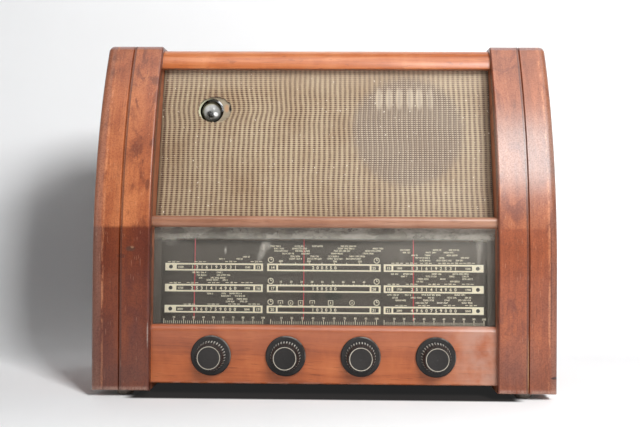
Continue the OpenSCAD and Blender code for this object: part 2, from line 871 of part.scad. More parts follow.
module pulley(x) {
  half = 2.5;
  color("wheat") placed() translate([x, pointer_cord_d, pulley_z]) rotate([-90, 0, 0])
    rotate_extrude() difference() {
      translate([2 + run_gap, -half]) square([pulley_r - 0.5 - run_gap, 2 * half]);
      groove_2d(pulley_r);
    }
}

module left_pulley() {
  pulley(-pulley_x);
}

module right_pulley() {
  pulley(pulley_x);
}

// Chassis

module chassis() {
  color("silver") placed() difference() {
    union() {
      translate([-chassis_w / 2, chassis_d, base_z]) difference() {
        cube([chassis_w, chassis_depth, chassis_h]);
        translate([sheet_t, sheet_t, -1])
          cube([chassis_w - 2 * sheet_t, chassis_depth - 2 * sheet_t, chassis_h - sheet_t + 1]);
      }
      for (d = [chassis_d + sheet_t / 2, chassis_back - flange_w - sheet_t])
        translate([-chassis_w / 2 + sheet_t / 2, d, base_z])
          cube([chassis_w - sheet_t, flange_w + sheet_t / 2, sheet_t]);
    }
    for (i = [0 : 3]) pin(knob_x(i), knob_z, chassis_d - 1, chassis_d + sheet_t + 1, bush_r + run_gap);
    for (x = [-bolt_x, bolt_x], d = bolts_d)
      translate([x, d, base_z - 1]) cylinder(h = sheet_t + 2, r = screw_r + run_gap);
  }
}

// Tuning capacitor: frame, fixed plates and moving plates

module gang_frame() {
  middle_d = gang_d + gang_plate + section_l + 2;
  color("silver") placed() difference() {
    union() {
      translate([-gang_w / 2, gang_d, deck_z]) cube([gang_w, gang_l, gang_plate]);
      for (d = [gang_d, middle_d, gang_d + gang_l - gang_plate])
        translate([-gang_w / 2, d, deck_z]) cube([gang_w, gang_plate, frame_h]);
    }
    pin(0, shaft_z, gang_d - 1, gang_d + gang_l + 1, spindle_r + run_gap);
  }
}

// Half-round fixed plates between the moving ones, joined by two rods beyond the vanes' reach
module gang_stators() {
  color("gainsboro") placed() {
    for (start = sections_d) {
      for (i = [1 : vane_n - 1])
        facing(start + i * vane_pitch - vane_t / 2, start + i * vane_pitch + vane_t / 2)
          translate([0, shaft_z]) difference() {
            translate([0, -vane_r]) square([gang_w / 2, 2 * vane_r]);
            circle(spindle_r + 3);
          }
      for (z = [-1, 1] * (vane_r - 3))
        pin(gang_w / 2 - 2.5, shaft_z + z, start - 1, start + section_l + 1, 1.5);
    }
  }
}

module gang_rotor() {
  color("gainsboro") placed() {
    pin(0, shaft_z, drive_d - 1, gang_d + gang_l + 2, spindle_r);
    for (start = sections_d, i = [0 : vane_n - 1]) {
      d = start + (i + 0.5) * vane_pitch - vane_t / 2;
      facing(d, d + vane_t) translate([0, shaft_z]) rotate(-rest_turn) intersection() {
        circle(vane_r);
        translate([0, -vane_r]) square([vane_r, 2 * vane_r]);
      }
    }
  }
}

// Transformers: a stack of iron with two windows and a wound bobbin through them

// Half of the iron's width is the middle limb and the two outer limbs
module iron(size) {
  limb = size[0] / 6;
  depth = size[1] * 0.6;
  translate([-size[0] / 2, -depth / 2, 0]) difference() {
    cube([size[0], depth, size[2]]);
    for (x = [limb, size[0] / 2 + limb])
      translate([x, -1, limb]) cube([limb, depth + 2, size[2] - 2 * limb]);
  }
}

module winding(size) {
  limb = size[0] / 6;
  gap = fit_gap / 2;
  high = size[2] - 2 * (limb + gap);
  translate([0, 0, limb + gap]) difference() {
    translate([-2 * limb + gap, -size[1] / 2, 0]) cube([4 * limb - 2 * gap, size[1], high]);
    translate([-limb - gap, -size[1] * 0.3 - gap, -1])
      cube([2 * (limb + gap), size[1] * 0.6 + 2 * gap, high + 2]);
  }
}

module transformer_cores() {
  color("dimgray") placed() {
    translate(mains_at) iron(mains_size);
    translate(output_at) iron(output_size);
  }
}

module transformer_coils() {
  color("peru") placed() {
    translate(mains_at) winding(mains_size);
    translate(output_at) winding(output_size);
  }
}

// Valves and cans

// An open-ended glass envelope with a domed top and the pip where it was sealed
module valve_bulbs() {
  glass = 1.2;
  color("lightgray", 0.5) placed() for (v = valves) translate([v[0], v[1], deck_z + valve_base_h])
    rotate_extrude() difference() {
      union() {
        bulb_2d(v[2], valve_h);
        translate([0, valve_h - 1]) square([2, 5]);
      }
      translate([0, -glass]) bulb_2d(v[2] - glass, valve_h);
    }
}

// Half the outline of a rounded bulb
module bulb_2d(r, length) {
  square([r, length - r]);
  translate([0, length - r]) intersection() {
    circle(r);
    square(r);
  }
}

module valve_bases() {
  color("saddlebrown") placed() for (v = valves) translate([v[0], v[1], deck_z])
    rotate_extrude() polygon([
      [0, 0], [v[2] + 4, 0], [v[2] + 4, 5], [v[2] - 0.5, 5],
      [v[2] - 0.5, valve_base_h - 4], [v[2], valve_base_h - 3], [v[2], valve_base_h], [0, valve_base_h]
    ]);
}

// A square with rounded corners, centred on the origin
module round_square(width, r) {
  half = width / 2;
  difference() {
    square(width, center = true);
    for (a = [0 : 90 : 270]) rotate(a) translate([-half, -half]) corner_cut(r);
  }
}

// Two square cans over the intermediate coils and one round smoothing can
module screening_cans() {
  can_w = 34;
  can_h = 82;
  color("lightsteelblue") placed() {
    for (at = concat(
      [for (x = front_cans_x) [x, chassis_d + front_row, deck_z]],
      [for (x = rear_cans_x) [x, chassis_d + rear_row, deck_z]]
    )) translate(at) {
      linear_extrude(can_h) round_square(can_w, 4);
      translate([0, 0, can_h]) cylinder(h = 2, r = 4);
    }
    translate([smoother_x, chassis_d + rear_row, deck_z]) rotate_extrude()
      polygon([[0, 0], [19, 0], [19, 3], [17.5, 3], [17.5, 88], [15.5, 90], [0, 90]]);
  }
}

// Speaker

// Local z runs back from the baffle's rear face, at right angles to it
module on_baffle(x, z) {
  translate([x, baffle_back(z), z]) rotate([-90 - cloth_tilt, 0, 0]) children();
}

module speaker_basket() {
  rim_r = speaker_hole_r + speaker_rim;
  wall_r = speaker_hole_r + 2;
  color("gray") placed() on_baffle(speaker_x, speaker_z) difference() {
    rotate_extrude() polygon([
      [speaker_hole_r, 0], [rim_r, 0], [rim_r, basket_t], [wall_r + basket_t, basket_t],
      [basket_back_r + basket_t, basket_h], [basket_back_r + basket_t, basket_h + basket_t],
      [coil_r + 3, basket_h + basket_t], [coil_r + 3, basket_h],
      [basket_back_r, basket_h], [wall_r, basket_t], [speaker_hole_r, basket_t]
    ]);
    for (i = [0 : basket_windows - 1]) rotate([0, 0, 360 * (i + 0.5) / basket_windows])
      translate([basket_back_r + 6, -16, 10]) cube([speaker_hole_r, 32, basket_h - 18]);
  }
}

module speaker_cone() {
  edge_w = 6;
  neck_h = basket_h - 6;
  edge_r0 = speaker_hole_r - edge_w;
  color("saddlebrown") placed() on_baffle(speaker_x, speaker_z) rotate_extrude() {
    polygon([
      [edge_r0, basket_t], [edge_r0, basket_t + cone_t],
      [coil_r + 1, neck_h + cone_t], [coil_r + 1, basket_h + 4], [coil_r, basket_h + 4], [coil_r, neck_h]
    ]);
    translate([edge_r0, basket_t]) square([edge_w + 1, cone_t]);
    translate([0, neck_h]) square([coil_r, cone_t]);
  }
}

module speaker_magnet() {
  color("dimgray") placed() on_baffle(speaker_x, speaker_z) translate([0, 0, basket_h + basket_t])
    rotate_extrude() difference() {
      polygon([[0, 0], [magnet_r, 0], [magnet_r, magnet_h - 3], [magnet_r - 3, magnet_h], [0, magnet_h]]);
      square([coil_r + 1.5, 8]);
    }
}

// Tuning eye, lying along the depth with its domed end at the cloth

module eye_place() {
  translate([-eye_x, eye_d + eye_l, eye_z]) rotate([90, 0, 0]) children();
}

module eye_bulb() {
  glass = 0.9;
  color("lightcyan", 0.5) placed() eye_place() rotate_extrude() difference() {
    bulb_2d(eye_r, eye_l);
    translate([0, -glass]) bulb_2d(eye_r - glass, eye_l);
  }
}

// The glowing dish with its dark disc in front, on a post from the base
module eye_target() {
  dish_r = eye_r - 2.5;
  dish_z = eye_l - 16;
  color("darkslategray") placed() eye_place() {
    rotate_extrude() polygon([[0, dish_z - 3], [4, dish_z - 3], [dish_r, dish_z + 4],
      [dish_r, dish_z + 5], [3.5, dish_z - 1.5], [0, dish_z - 1.5]]);
    cylinder(h = dish_z - 2.5, r = 3);
    translate([0, 0, dish_z - 3]) cylinder(h = 10, r = 1);
    translate([0, 0, dish_z + 6]) cylinder(h = 1.2, r = eye_disc_r);
  }
}

module eye_base() {
  color("saddlebrown") placed() eye_place() translate([0, 0, -eye_base_h])
    cylinder(h = eye_base_h, r = eye_r);
}

// A strap round the eye's base, with an arm and a foot on the baffle
module eye_bracket() {
  strap_t = 1.2;
  strap_r = eye_r + 0.1;
  arm_z = eye_z + strap_r;
  foot_d = baffle_back(arm_z);
  strap_d = eye_d + eye_l + 4;
  color("silver") placed() {
    difference() {
      union() {
        pin(-eye_x, eye_z, strap_d, strap_d + 12, strap_r + strap_t);
        translate([-eye_x - 6, foot_d, arm_z]) cube([12, strap_d + 12 - foot_d, strap_t]);
      }
      pin(-eye_x, eye_z, strap_d - 1, strap_d + 13, strap_r);
    }
    leaning(foot_d, arm_z, arm_z + 16, cloth_tilt, strap_t, -eye_x - 6, -eye_x + 6);
  }
}

// Controls behind the front of the chassis

// A threaded bush with its nut, and the body behind the chassis
module control(i, body_l) {
  x = knob_x(i);
  difference() {
    union() {
      pin(x, knob_z, chassis_d - nut_h - 2, chassis_d + sheet_t + 4, bush_r);
      translate([x, chassis_d, knob_z]) rotate([90, 0, 0]) cylinder(h = nut_h, r = 7.5, $fn = 6);
      pin(x, knob_z, chassis_d + sheet_t, chassis_d + sheet_t + body_l, control_r);
    }
    pin(x, knob_z, chassis_d - nut_h - 3, chassis_d + sheet_t + spindle_tail, spindle_r + run_gap);
  }
}

// Tone and volume controls, and the tuning spindle's bearing
module controls() {
  color("darkgray") placed() {
    control(0, tone_l);
    control(1, volume_l);
    control(2, bearing_l);
  }
}

// The wave-change switch: a stop plate and two round wafers on two rods
module band_switch() {
  wafer_r = 17;
  wafer_x = knob_x(3);
  color("burlywood") placed() {
    control(3, bearing_l);
    for (d = [22, 40]) difference() {
      pin(wafer_x, knob_z, chassis_d + d, chassis_d + d + 2, wafer_r);
      pin(wafer_x, knob_z, chassis_d + d - 1, chassis_d + d + 3, 4);
    }
    for (z = [-8, 8]) pin(wafer_x, knob_z + z, chassis_d + sheet_t + 4, chassis_d + wafer_tail, 1.5);
  }
}

// Knobs: a skirt, a tapering fluted grip, an inlaid ring and a dished front

module knob_at(i) {
  placed() translate([knob_x(i), knob_d, knob_z]) rotate([90, 0, 0]) children();
}

module knob(i) {
  taper = atan((grip_r0 - grip_r1) / (knob_h - skirt_t));
  dish_ball = (pow(ring_r - ring_w - 0.5, 2) + pow(dish_depth, 2)) / (2 * dish_depth);
  bore_l = knob_h - 8;
  color("black") knob_at(i) difference() {
    rotate_extrude() polygon([
      [0, 0], [skirt_r, 0], [skirt_r, skirt_t - 1.5], [skirt_r - 1.5, skirt_t],
      [grip_r0, skirt_t], [grip_r1, knob_h - 0.5], [grip_r1 - 0.5, knob_h], [0, knob_h]
    ]);
    for (k = [0 : flutes - 1]) rotate([0, 0, 360 * k / flutes])
      translate([grip_r0 + 0.5, 0, skirt_t + 0.6]) rotate([0, -taper, 0])
        cylinder(h = knob_h, r = flute_r);
    translate([0, 0, -1]) cylinder(h = bore_l + 1, r = spindle_r + run_gap);
    translate([0, 0, knob_h - ring_t]) rotate_extrude()
      translate([ring_r - ring_w - run_gap, 0]) square([ring_w + 2 * run_gap, ring_t + 1]);
    translate([0, 0, knob_h + dish_ball - dish_depth]) sphere(dish_ball);
  }
}

module tone_knob() {
  knob(0);
}

module volume_knob() {
  knob(1);
}

module tuning_knob() {
  knob(2);
}

module band_knob() {
  knob(3);
}

module ring(i) {
  color("khaki") knob_at(i) translate([0, 0, knob_h - ring_t]) rotate_extrude()
    translate([ring_r - ring_w, 0]) square([ring_w, ring_t]);
}

module tone_ring() {
  ring(0);
}

module volume_ring() {
  ring(1);
}

module tuning_ring() {
  ring(2);
}

module band_ring() {
  ring(3);
}

// A spindle from inside its knob to its control
module spindle(i, tail) {
  color("silver") placed() pin(knob_x(i), knob_z, spindle_front, chassis_d + tail, spindle_r);
}

module tone_spindle() {
  spindle(0, spindle_tail);
}

module volume_spindle() {
  spindle(1, spindle_tail);
}

// The tuning spindle has a waist for the drive cord
module tuning_spindle() {
  color("silver") placed() translate([tuning_x, drive_cord_d, knob_z]) rotate([-90, 0, 0])
    rotate_extrude() {
      polygon([
        [0, spindle_front - drive_cord_d], [spindle_r, spindle_front - drive_cord_d],
        [spindle_r, -2], [waist_r, -1.4], [waist_r, 1.4], [spindle_r, 2],
        [spindle_r, chassis_d + spindle_tail - drive_cord_d], [0, chassis_d + spindle_tail - drive_cord_d]
      ]);
    }
}

module band_spindle() {
  spindle(3, wafer_tail);
}

left_wing_face();
right_wing_face();
left_outer_side();
right_outer_side();
left_inner_side();
right_inner_side();
base_boards();
top_panel();
top_rail();
middle_rail();
front_panel();
baffle_board();
grille_cloth();
feet();
back_cover();
screws();
mains_grommet();
socket_strip();
dial_glass();
dial_mask();
dial_backplate();
dial_brackets();
dial_lamps();
carriage_rail();
pointer_carriage();
pointers();
drive_drum();
drive_cords();
left_pulley();
right_pulley();
chassis();
gang_frame();
gang_stators();
gang_rotor();
transformer_cores();
transformer_coils();
valve_bulbs();
valve_bases();
screening_cans();
speaker_basket();
speaker_cone();
speaker_magnet();
eye_bulb();
eye_target();
eye_base();
eye_bracket();
controls();
band_switch();
tone_knob();
volume_knob();
tuning_knob();
band_knob();
tone_ring();
volume_ring();
tuning_ring();
band_ring();
tone_spindle();
volume_spindle();
tuning_spindle();
band_spindle();
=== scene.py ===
"""Looks, light and camera for the tube table radio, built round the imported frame."""

import math
import random

import bmesh
import bpy
from mathutils import Matrix, Vector, noise


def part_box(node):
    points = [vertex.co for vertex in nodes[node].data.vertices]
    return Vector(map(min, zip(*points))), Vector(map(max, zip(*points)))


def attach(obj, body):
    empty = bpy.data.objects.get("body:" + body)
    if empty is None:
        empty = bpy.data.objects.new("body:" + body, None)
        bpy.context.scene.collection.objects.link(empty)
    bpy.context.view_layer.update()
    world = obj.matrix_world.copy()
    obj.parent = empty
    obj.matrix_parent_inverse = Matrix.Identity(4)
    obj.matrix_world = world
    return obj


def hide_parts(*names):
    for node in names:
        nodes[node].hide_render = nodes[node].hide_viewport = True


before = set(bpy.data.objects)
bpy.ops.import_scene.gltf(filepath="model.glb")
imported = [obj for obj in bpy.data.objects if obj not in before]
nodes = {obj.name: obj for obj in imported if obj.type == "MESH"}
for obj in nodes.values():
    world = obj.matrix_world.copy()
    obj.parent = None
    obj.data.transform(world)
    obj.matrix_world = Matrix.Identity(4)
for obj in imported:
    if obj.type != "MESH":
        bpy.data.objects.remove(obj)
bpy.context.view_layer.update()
random.seed(7)

# Sizes are in millimetres, a depth counts backwards from the wings' front, and a name that ends
# in PX holds pixels of the photograph.
MM = 0.001
TO_MM = 1000
X, Y, Z = 0, 1, 2
WHITE = (1, 1, 1, 1)

def corners(node):
    """A node's lowest and highest corners at rest."""
    return [[round(v * TO_MM, 3) for v in corner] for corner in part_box(node)]

def middle(node):
    """The middle of a node's box at rest."""
    low, high = corners(node)
    return [(a + b) / 2 for a, b in zip(low, high)]

FRONT = -corners("left_wing_face")[0][Y]   # the wings' front, forward of the frame's origin
WING_TOP = corners("left_wing_face")[1][Z]
BAY_HALF = corners("grille_cloth")[1][X]
DIAL_TOP = corners("dial_glass")[1][Z]
PANEL_LOW = corners("front_panel")[0][Z]
KNOB_PITCH = middle("tuning_ring")[X] - middle("volume_ring")[X]
KNOB_Z = middle("tuning_ring")[Z]
EYE_X, _, EYE_Z = middle("eye_bulb")

def y_of(d):
    """The frame's y, in metres, for a depth."""
    return (d - FRONT) * MM

def tint(r, g, b):
    """A colour given in 0 to 255 steps, as the shader's linear colour."""
    def one(c):
        c /= 255
        return c / 12.92 if c <= 0.04045 else ((c + 0.055) / 1.055) ** 2.4
    return (one(r), one(g), one(b), 1)

# The camera, solved from the edges in the photograph
PHOTO_WIDE_PX, PHOTO_HIGH_PX = 640, 427
FOCAL_PX = 935.3
CAMERA_AT = Vector((21.6, -1200, 237.1))   # x, depth and height
TURN, TILT, ROLL = 1.263, 0.126, 0.333     # degrees: to the left, upwards, and about the sight line
SENSOR = 36
AIM = (Matrix.Rotation(math.radians(TURN), 3, "Z") @ Matrix.Rotation(math.radians(90 + TILT), 3, "X")
       @ Matrix.Rotation(math.radians(ROLL), 3, "Z"))

def put(name, data):
    """A new object in the scene."""
    obj = bpy.data.objects.new(name, data)
    bpy.context.collection.objects.link(obj)
    return obj

def make_camera():
    """The photograph's camera."""
    data = bpy.data.cameras.new("camera")
    data.sensor_width = SENSOR
    data.lens = FOCAL_PX * SENSOR / PHOTO_WIDE_PX
    cam = put("camera", data)
    cam.location = (CAMERA_AT.x * MM, y_of(CAMERA_AT.y), CAMERA_AT.z * MM)
    cam.rotation_euler = AIM.to_euler()
    bpy.context.scene.camera = cam

class Leaning:
    """The front face of a node that leans back by some degrees."""

    def __init__(self, node, degrees):
        low = corners(node)[0]
        self.foot_d, self.foot_z = FRONT + low[Y], low[Z]
        self.slope = math.tan(math.radians(degrees))
        self.stretch = 1 / math.cos(math.radians(degrees))

    def depth(self, z):
        """The face's depth at a height."""
        return self.foot_d + (z - self.foot_z) * self.slope

    def seen(self, place, behind=0.0):
        """x and height where the sight line of a pixel meets the face, or a plane behind it."""
        right, down = place[0] - PHOTO_WIDE_PX / 2, place[1] - PHOTO_HIGH_PX / 2
        way = AIM @ Vector((right / FOCAL_PX, -down / FOCAL_PX, -1))
        ahead = self.depth(CAMERA_AT.z) + behind - CAMERA_AT.y
        at = CAMERA_AT + way * (ahead / (way.y - way.z * self.slope))
        return at.x, at.z

CLOTH = Leaning("grille_cloth", 15.5)
GLASS = Leaning("dial_glass", 4)
GLASS_THICK = 3 * GLASS.stretch   # from the glass's front to its back at one height

class Tree:
    """One material's nodes, made by short calls that return sockets."""

    def __init__(self, name):
        self.mat = bpy.data.materials.new(name)
        self.mat.use_nodes = True
        self.tree = self.mat.node_tree
        self.tree.nodes.clear()
        self.out = self.tree.nodes.new("ShaderNodeOutputMaterial")
        coords = self.tree.nodes.new("ShaderNodeTexCoord")
        self.pos = coords.outputs["Object"]
        self.uv = coords.outputs["UV"]

    def node(self, kind, ins=None, **settings):
        """A node with its inputs linked or set; a colour of three numbers is in 0 to 255 steps."""
        made = self.tree.nodes.new("ShaderNode" + kind)
        for key, value in settings.items():
            setattr(made, key, value)
        for key, value in (ins or {}).items():
            if isinstance(value, bpy.types.NodeSocket):
                self.tree.links.new(value, made.inputs[key])
            elif made.inputs[key].type == "RGBA" and len(value) == 3:
                made.inputs[key].default_value = tint(*value)
            elif value is not None:
                made.inputs[key].default_value = value
        return made

    def math(self, op, a, b=None, c=None):
        return self.node("Math", {0: a, 1: b, 2: c}, operation=op).outputs[0]

    def vec(self, op, a, b=None, c=None):
        made = self.node("VectorMath", {0: a, 1: b, 2: c}, operation=op)
        return made.outputs["Value"] if op in ("LENGTH", "DOT_PRODUCT") else made.outputs[0]

    def plus(self, a, b):
        return self.math("ADD", a, b)

    def xyz(self, v):
        return tuple(self.node("SeparateXYZ", {0: v}).outputs)

    def height(self):
        """The shaded point's height in millimetres."""
        return self.math("MULTIPLY", self.xyz(self.pos)[Z], TO_MM)

    def noise(self, at, scale, detail=4.0, rough=0.55, warp=0.0):
        return self.node("TexNoise", {"Vector": at, "Scale": scale, "Detail": detail,
                                      "Roughness": rough, "Distortion": warp}).outputs[0]

    def streaks(self, stretch, *settings):
        """Noise that is drawn out along the axes whose stretch is small."""
        return self.noise(self.vec("MULTIPLY", self.pos, stretch), *settings)

    def step(self, x, a, b, lo=0.0, hi=1.0):
        """x going smoothly from lo at a to hi at b."""
        return self.node("MapRange", {"Value": x, "From Min": a, "From Max": b, "To Min": lo, "To Max": hi},
                         interpolation_type="SMOOTHSTEP").outputs[0]

    def spot(self, x, z, rx, rz, edge=0.35, wobble=0.0):
        """1 inside an ellipse on the front, in millimetres, fading to 0 outside it."""
        off = self.vec("MULTIPLY_ADD", self.pos, (TO_MM / rx, 0, TO_MM / rz), (-x / rx, 0, -z / rz))
        far = self.vec("LENGTH", off)
        if wobble:
            ripple = self.math("MULTIPLY_ADD", self.noise(self.pos, 160), wobble * 2, -wobble)
            far = self.plus(far, ripple)
        return self.step(far, 1 + edge, 1 - edge)

    def times(self, *masks):
        """The masks' product."""
        made = masks[0]
        for m in masks[1:]:
            made = self.math("MULTIPLY", made, m)
        return made

    def total(self, *parts):
        """The sum of the parts, each a socket and its share."""
        made = self.times(*parts[0])
        for part in parts[1:]:
            made = self.plus(made, self.times(*part))
        return made

    def rest(self, mask):
        """What a mask leaves out."""
        return self.math("SUBTRACT", 1, mask)

    def mix(self, fac, a, b, mode="MIX"):
        return self.node("Mix", {0: fac, 6: a, 7: b}, data_type="RGBA", blend_type=mode).outputs[2]

    def lay(self, colour, mask, hue, how=1):
        """The colour with a hue laid over it where the mask is, that strongly."""
        return self.mix(mask if how == 1 else self.times(mask, how), colour, hue)

    def stain(self, colour, mask, hue, how=1):
        """The colour stained by a hue where the mask is, so that it only gets darker."""
        return self.lay(colour, mask, self.mix(1, colour, hue, "MULTIPLY"), how)

    def ramp(self, x, stops):
        made = self.node("ValToRGB", {0: x})
        els = made.color_ramp.elements
        while len(els) < len(stops):
            els.new(0.5)
        for el, (at, colour) in zip(els, stops):
            el.position, el.color = at, colour
        return made.outputs[0]

    def bump(self, height, strength, distance, normal=None):
        return self.node("Bump", {"Height": height, "Strength": strength, "Distance": distance,
                                  "Normal": normal}).outputs[0]

    def shine(self):
        """How strongly glass mirrors, by the angle it is seen at."""
        return self.node("Fresnel", {"IOR": 1.5}).outputs[0]

    def either(self, fac, a, b):
        """A shader between two others."""
        return self.node("MixShader", {0: fac, 1: a.outputs[0], 2: b.outputs[0]})

    def done(self, shader):
        self.tree.links.new(shader.outputs[0], self.out.inputs[0])
        return self.mat

# Finishes: their colours are given in 0 to 255 steps
DRAWN_OUT = 0.035   # scale of a veneer's figure along its grain, next to across it

def dulled(colour, share):
    """A darker version of a colour."""
    return tuple(c * share for c in colour[:3]) + (1,)

def wood(name, dark, mid, light, along=Z, rough=0.33, coat=0.4, streak=0.55, paint=None, bent=True):
    """Old varnished veneer with pores, blotches and flecks; a bent board's grain runs along y and z."""
    dark, mid, light = tint(*dark), tint(*mid), tint(*light)
    g = Tree(name)
    stretch = [1.0, 1.0, 1.0]
    stretch[along] = DRAWN_OUT
    if along == Z and bent:
        stretch[Y] = DRAWN_OUT
    wave = g.noise(g.pos, 5, 2)
    sway = (0.02 if along == Z else 0, 0 if bent else 0.03, 0.02 if along == X else 0)
    sway = g.node("CombineXYZ", {axis: g.times(wave, share) for axis, share in enumerate(sway)})
    p = g.vec("ADD", g.vec("MULTIPLY", g.pos, tuple(stretch)), sway.outputs[0])
    broad = g.noise(p, 38, 3, 0.6, 0.6)
    fine = g.noise(p, 260, 5, 0.65)
    hair = g.noise(p, 1100, 2, 0.5)
    cloud = g.streaks((1, 1, 0.6), 17, 5, 0.62, 0.4)
    tone = g.total((broad, streak), (fine, 0.25), (cloud, 0.82 - streak))
    colour = g.ramp(tone, [(0.36, dark), (0.53, mid), (0.68, light)])
    pore = g.step(hair, 0.63, 0.70)
    colour = g.lay(colour, pore, dulled(dark, 0.35), 0.45)
    flecks = g.step(g.noise(g.pos, 420, 2, 0.5), 0.74, 0.80)
    colour = g.lay(colour, flecks, (206, 180, 160), 0.1)
    roughness = g.math("MULTIPLY_ADD", g.noise(g.pos, 70, 5, 0.7), 0.22, rough - 0.1)
    if paint:
        colour, roughness = paint(g, colour, roughness)
    normal = g.bump(g.total((fine, 0.5), (pore, -0.6)), 0.16, 0.0006)
    normal = g.bump(g.noise(g.pos, 26, 2), 0.10, 0.004, normal)
    return g.done(g.node("BsdfPrincipled", {"Base Color": colour, "Roughness": roughness, "Normal": normal,
                                            "Coat Weight": coat, "Coat Roughness": 0.27,
                                            "Specular IOR Level": 0.3}))

def plain(name, a, b, rough=0.5, metal=0.0, size=60, bump=0.08, coat=0.0, dirt=0.3, stretch=(1, 1, 1),
          specular=0.5, paint=None, painted_glow=0.0):
    """A moulded, painted or metal finish with blotches, fine grain and dirt, and, where given, a painted
    glow.
    """
    a, b = tint(*a), tint(*b)
    g = Tree(name)
    fine = g.streaks(stretch, size * 9, 4, 0.6)
    tone = g.total((g.streaks(stretch, size * 0.2, 3, 0.6), 0.7), (fine, 0.3))
    colour = g.mix(g.step(tone, 0.35, 0.66), a, b)
    grime = g.step(g.noise(g.pos, size * 1.3, 5, 0.7), 0.56, 0.72)
    colour = g.lay(colour, grime, dulled(a, 0.4), dirt)
    roughness = g.math("MULTIPLY_ADD", fine, 0.2, rough - 0.1)
    if paint:
        colour, roughness = paint(g, colour, roughness)
    return g.done(g.node("BsdfPrincipled", {"Base Color": colour, "Roughness": roughness, "Metallic": metal,
                                            "Coat Weight": coat, "Specular IOR Level": specular,
                                            "Emission Color": b, "Emission Strength": painted_glow,
                                            "Normal": g.bump(fine, bump, 0.001)}))

# The wings: -1 is the left one and 1 the right one
WORN_EDGE = {-1: 286.0, 1: 289.5}   # where each wing's worn outer strip starts, from the middle
GROOVE = 261.2                      # the middle of the wings' groove, from the radio's middle
# stains and chips: x, height, half-width, half-height, strength and colour
WING_MARKS = {
    -1: ((-281, 70, 14, 34, 0.45, (84, 40, 30)), (-249, 193, 6, 3, 0.75, (72, 50, 40)),
         (-247, 195, 2, 1.5, 0.5, (170, 130, 100)), (-261, 184, 5, 2.5, 0.6, (70, 36, 28)),
         (-230, 276, 2.5, 8, 0.5, (70, 36, 30)), (-226.4, 82, 0.8, 15, 0.5, (176, 160, 150)),
         (-240, 60, 10, 40, 0.3, (90, 52, 44)), (-262, 30, 30, 12, 0.35, (86, 52, 44))),
    1: ((213, 326, 3, 4, 0.8, (60, 40, 36)), (291, 152, 1.0, 80, 0.6, (80, 44, 36)),
        (296, 31, 5, 1.6, 0.9, (50, 30, 28)), (262.5, 45, 0.9, 32, 0.6, (206, 160, 104)),
        (250, 55, 26, 30, 0.25, (126, 84, 72)), (283, 120, 5, 60, 0.3, (120, 62, 44)))}

def wing_tone(g, colour, side, out, up, ragged):
    """Darker below the dial's top, the left wing much more than the right, a difference that is painted light
    from the right; a darker skirt, and stain gathered near the edges.
    """
    # darker below the dial's top; the right wing darkens far less than the left, which is painted light from
    # the right
    below_dial_darkening = (166, 138, 124) if side < 0 else (232, 212, 196)
    colour = g.stain(colour, g.step(up, DIAL_TOP + 3, DIAL_TOP - 2), below_dial_darkening)
    skirt = g.step(g.plus(up, g.times(ragged, 4)), 80, 35)
    colour = g.lay(colour, skirt, (96, 64, 56), 0.25)
    near = g.math("MAXIMUM", g.step(out, 280, 290), g.step(out, 262, 252))
    blotch = g.step(g.streaks((1, 1, 0.45), 34, 4, 0.6, 0.8), 0.5, 0.64)
    blotch = g.times(blotch, g.math("MULTIPLY_ADD", near, 0.45, 0.2))
    return g.lay(colour, blotch, (92, 40, 26) if side < 0 else (112, 54, 38))

def wing_wear(g, colour, side, out, up, grain, ragged):
    """The worn outer strip with a pale line beside it, and grey on the crown's front, partly wear and partly
    a painted reflection of the pale surroundings.
    """
    start = WORN_EDGE[side]
    strip = g.step(g.plus(out, ragged), start, start + 3.0)
    colour = g.lay(colour, strip, g.mix(grain, (106, 72, 60), (158, 118, 100)), 0.45)
    # grey on the crown's front: partly wear, partly a painted reflection of the pale surroundings
    crown = g.times(g.step(g.plus(up, g.times(ragged, 0.6)), WING_TOP - 6.5, WING_TOP - 4),
                    g.step(g.xyz(g.pos)[Y], y_of(125), y_of(95)))
    colour = g.lay(colour, crown, (160, 138, 136), 0.65)
    line = g.times(g.step(out, start - 3, start - 1), g.step(out, start + 1.4, start - 0.2),
                   g.step(grain, 0.4, 0.6))
    return g.lay(colour, line, (214, 146, 104), 0.5), strip

def wing_outlines(g, colour, out, up, grain, ragged):
    """Darker in the groove and along the seam to the bay, and a pale rubbed foot."""
    groove = g.times(g.step(out, GROOVE - 1.6, GROOVE - 0.8), g.step(out, GROOVE + 1.6, GROOVE + 0.8))
    colour = g.lay(colour, groove, (74, 44, 36), 0.7)
    foot = g.times(g.step(up, 17, 13), g.step(grain, 0.3, 0.55))
    colour = g.lay(colour, foot, (190, 160, 144), 0.4)
    seam = g.step(g.plus(out, g.times(ragged, 0.5)), BAY_HALF + 2.6, BAY_HALF + 1.2)
    return g.lay(colour, seam, (84, 40, 30), 0.7)

def wing_film(g, colour, roughness, side, up):
    """A painted sheen greying the right wing's upper band, the left wing darker towards its top, a speckled
    film over all, and fine scratches.
    """
    if side > 0:
        # painted sheen: the band where the lamp's highlight falls on the right wing is greyed
        painted_sheen = g.times(g.step(up, 255, 300), g.step(up, 400, 340))
        colour = g.lay(colour, painted_sheen, (150, 138, 132), 0.4)
    else:
        colour = g.stain(colour, g.step(up, 380, 450, 0, 0.6), (226, 216, 210))
    speckle = g.step(g.noise(g.pos, 520, 2, 0.6), 0.42, 0.66, 0.0, 0.4)
    colour = g.stain(colour, speckle, (176, 150, 136))
    scratch = g.step(g.streaks((1, 1, 0.06), 900, 1, 0.4), 0.71, 0.75)
    colour = g.lay(colour, scratch, (222, 176, 146), 0.22)
    return colour, g.math("MULTIPLY_ADD", speckle, 0.3, roughness)

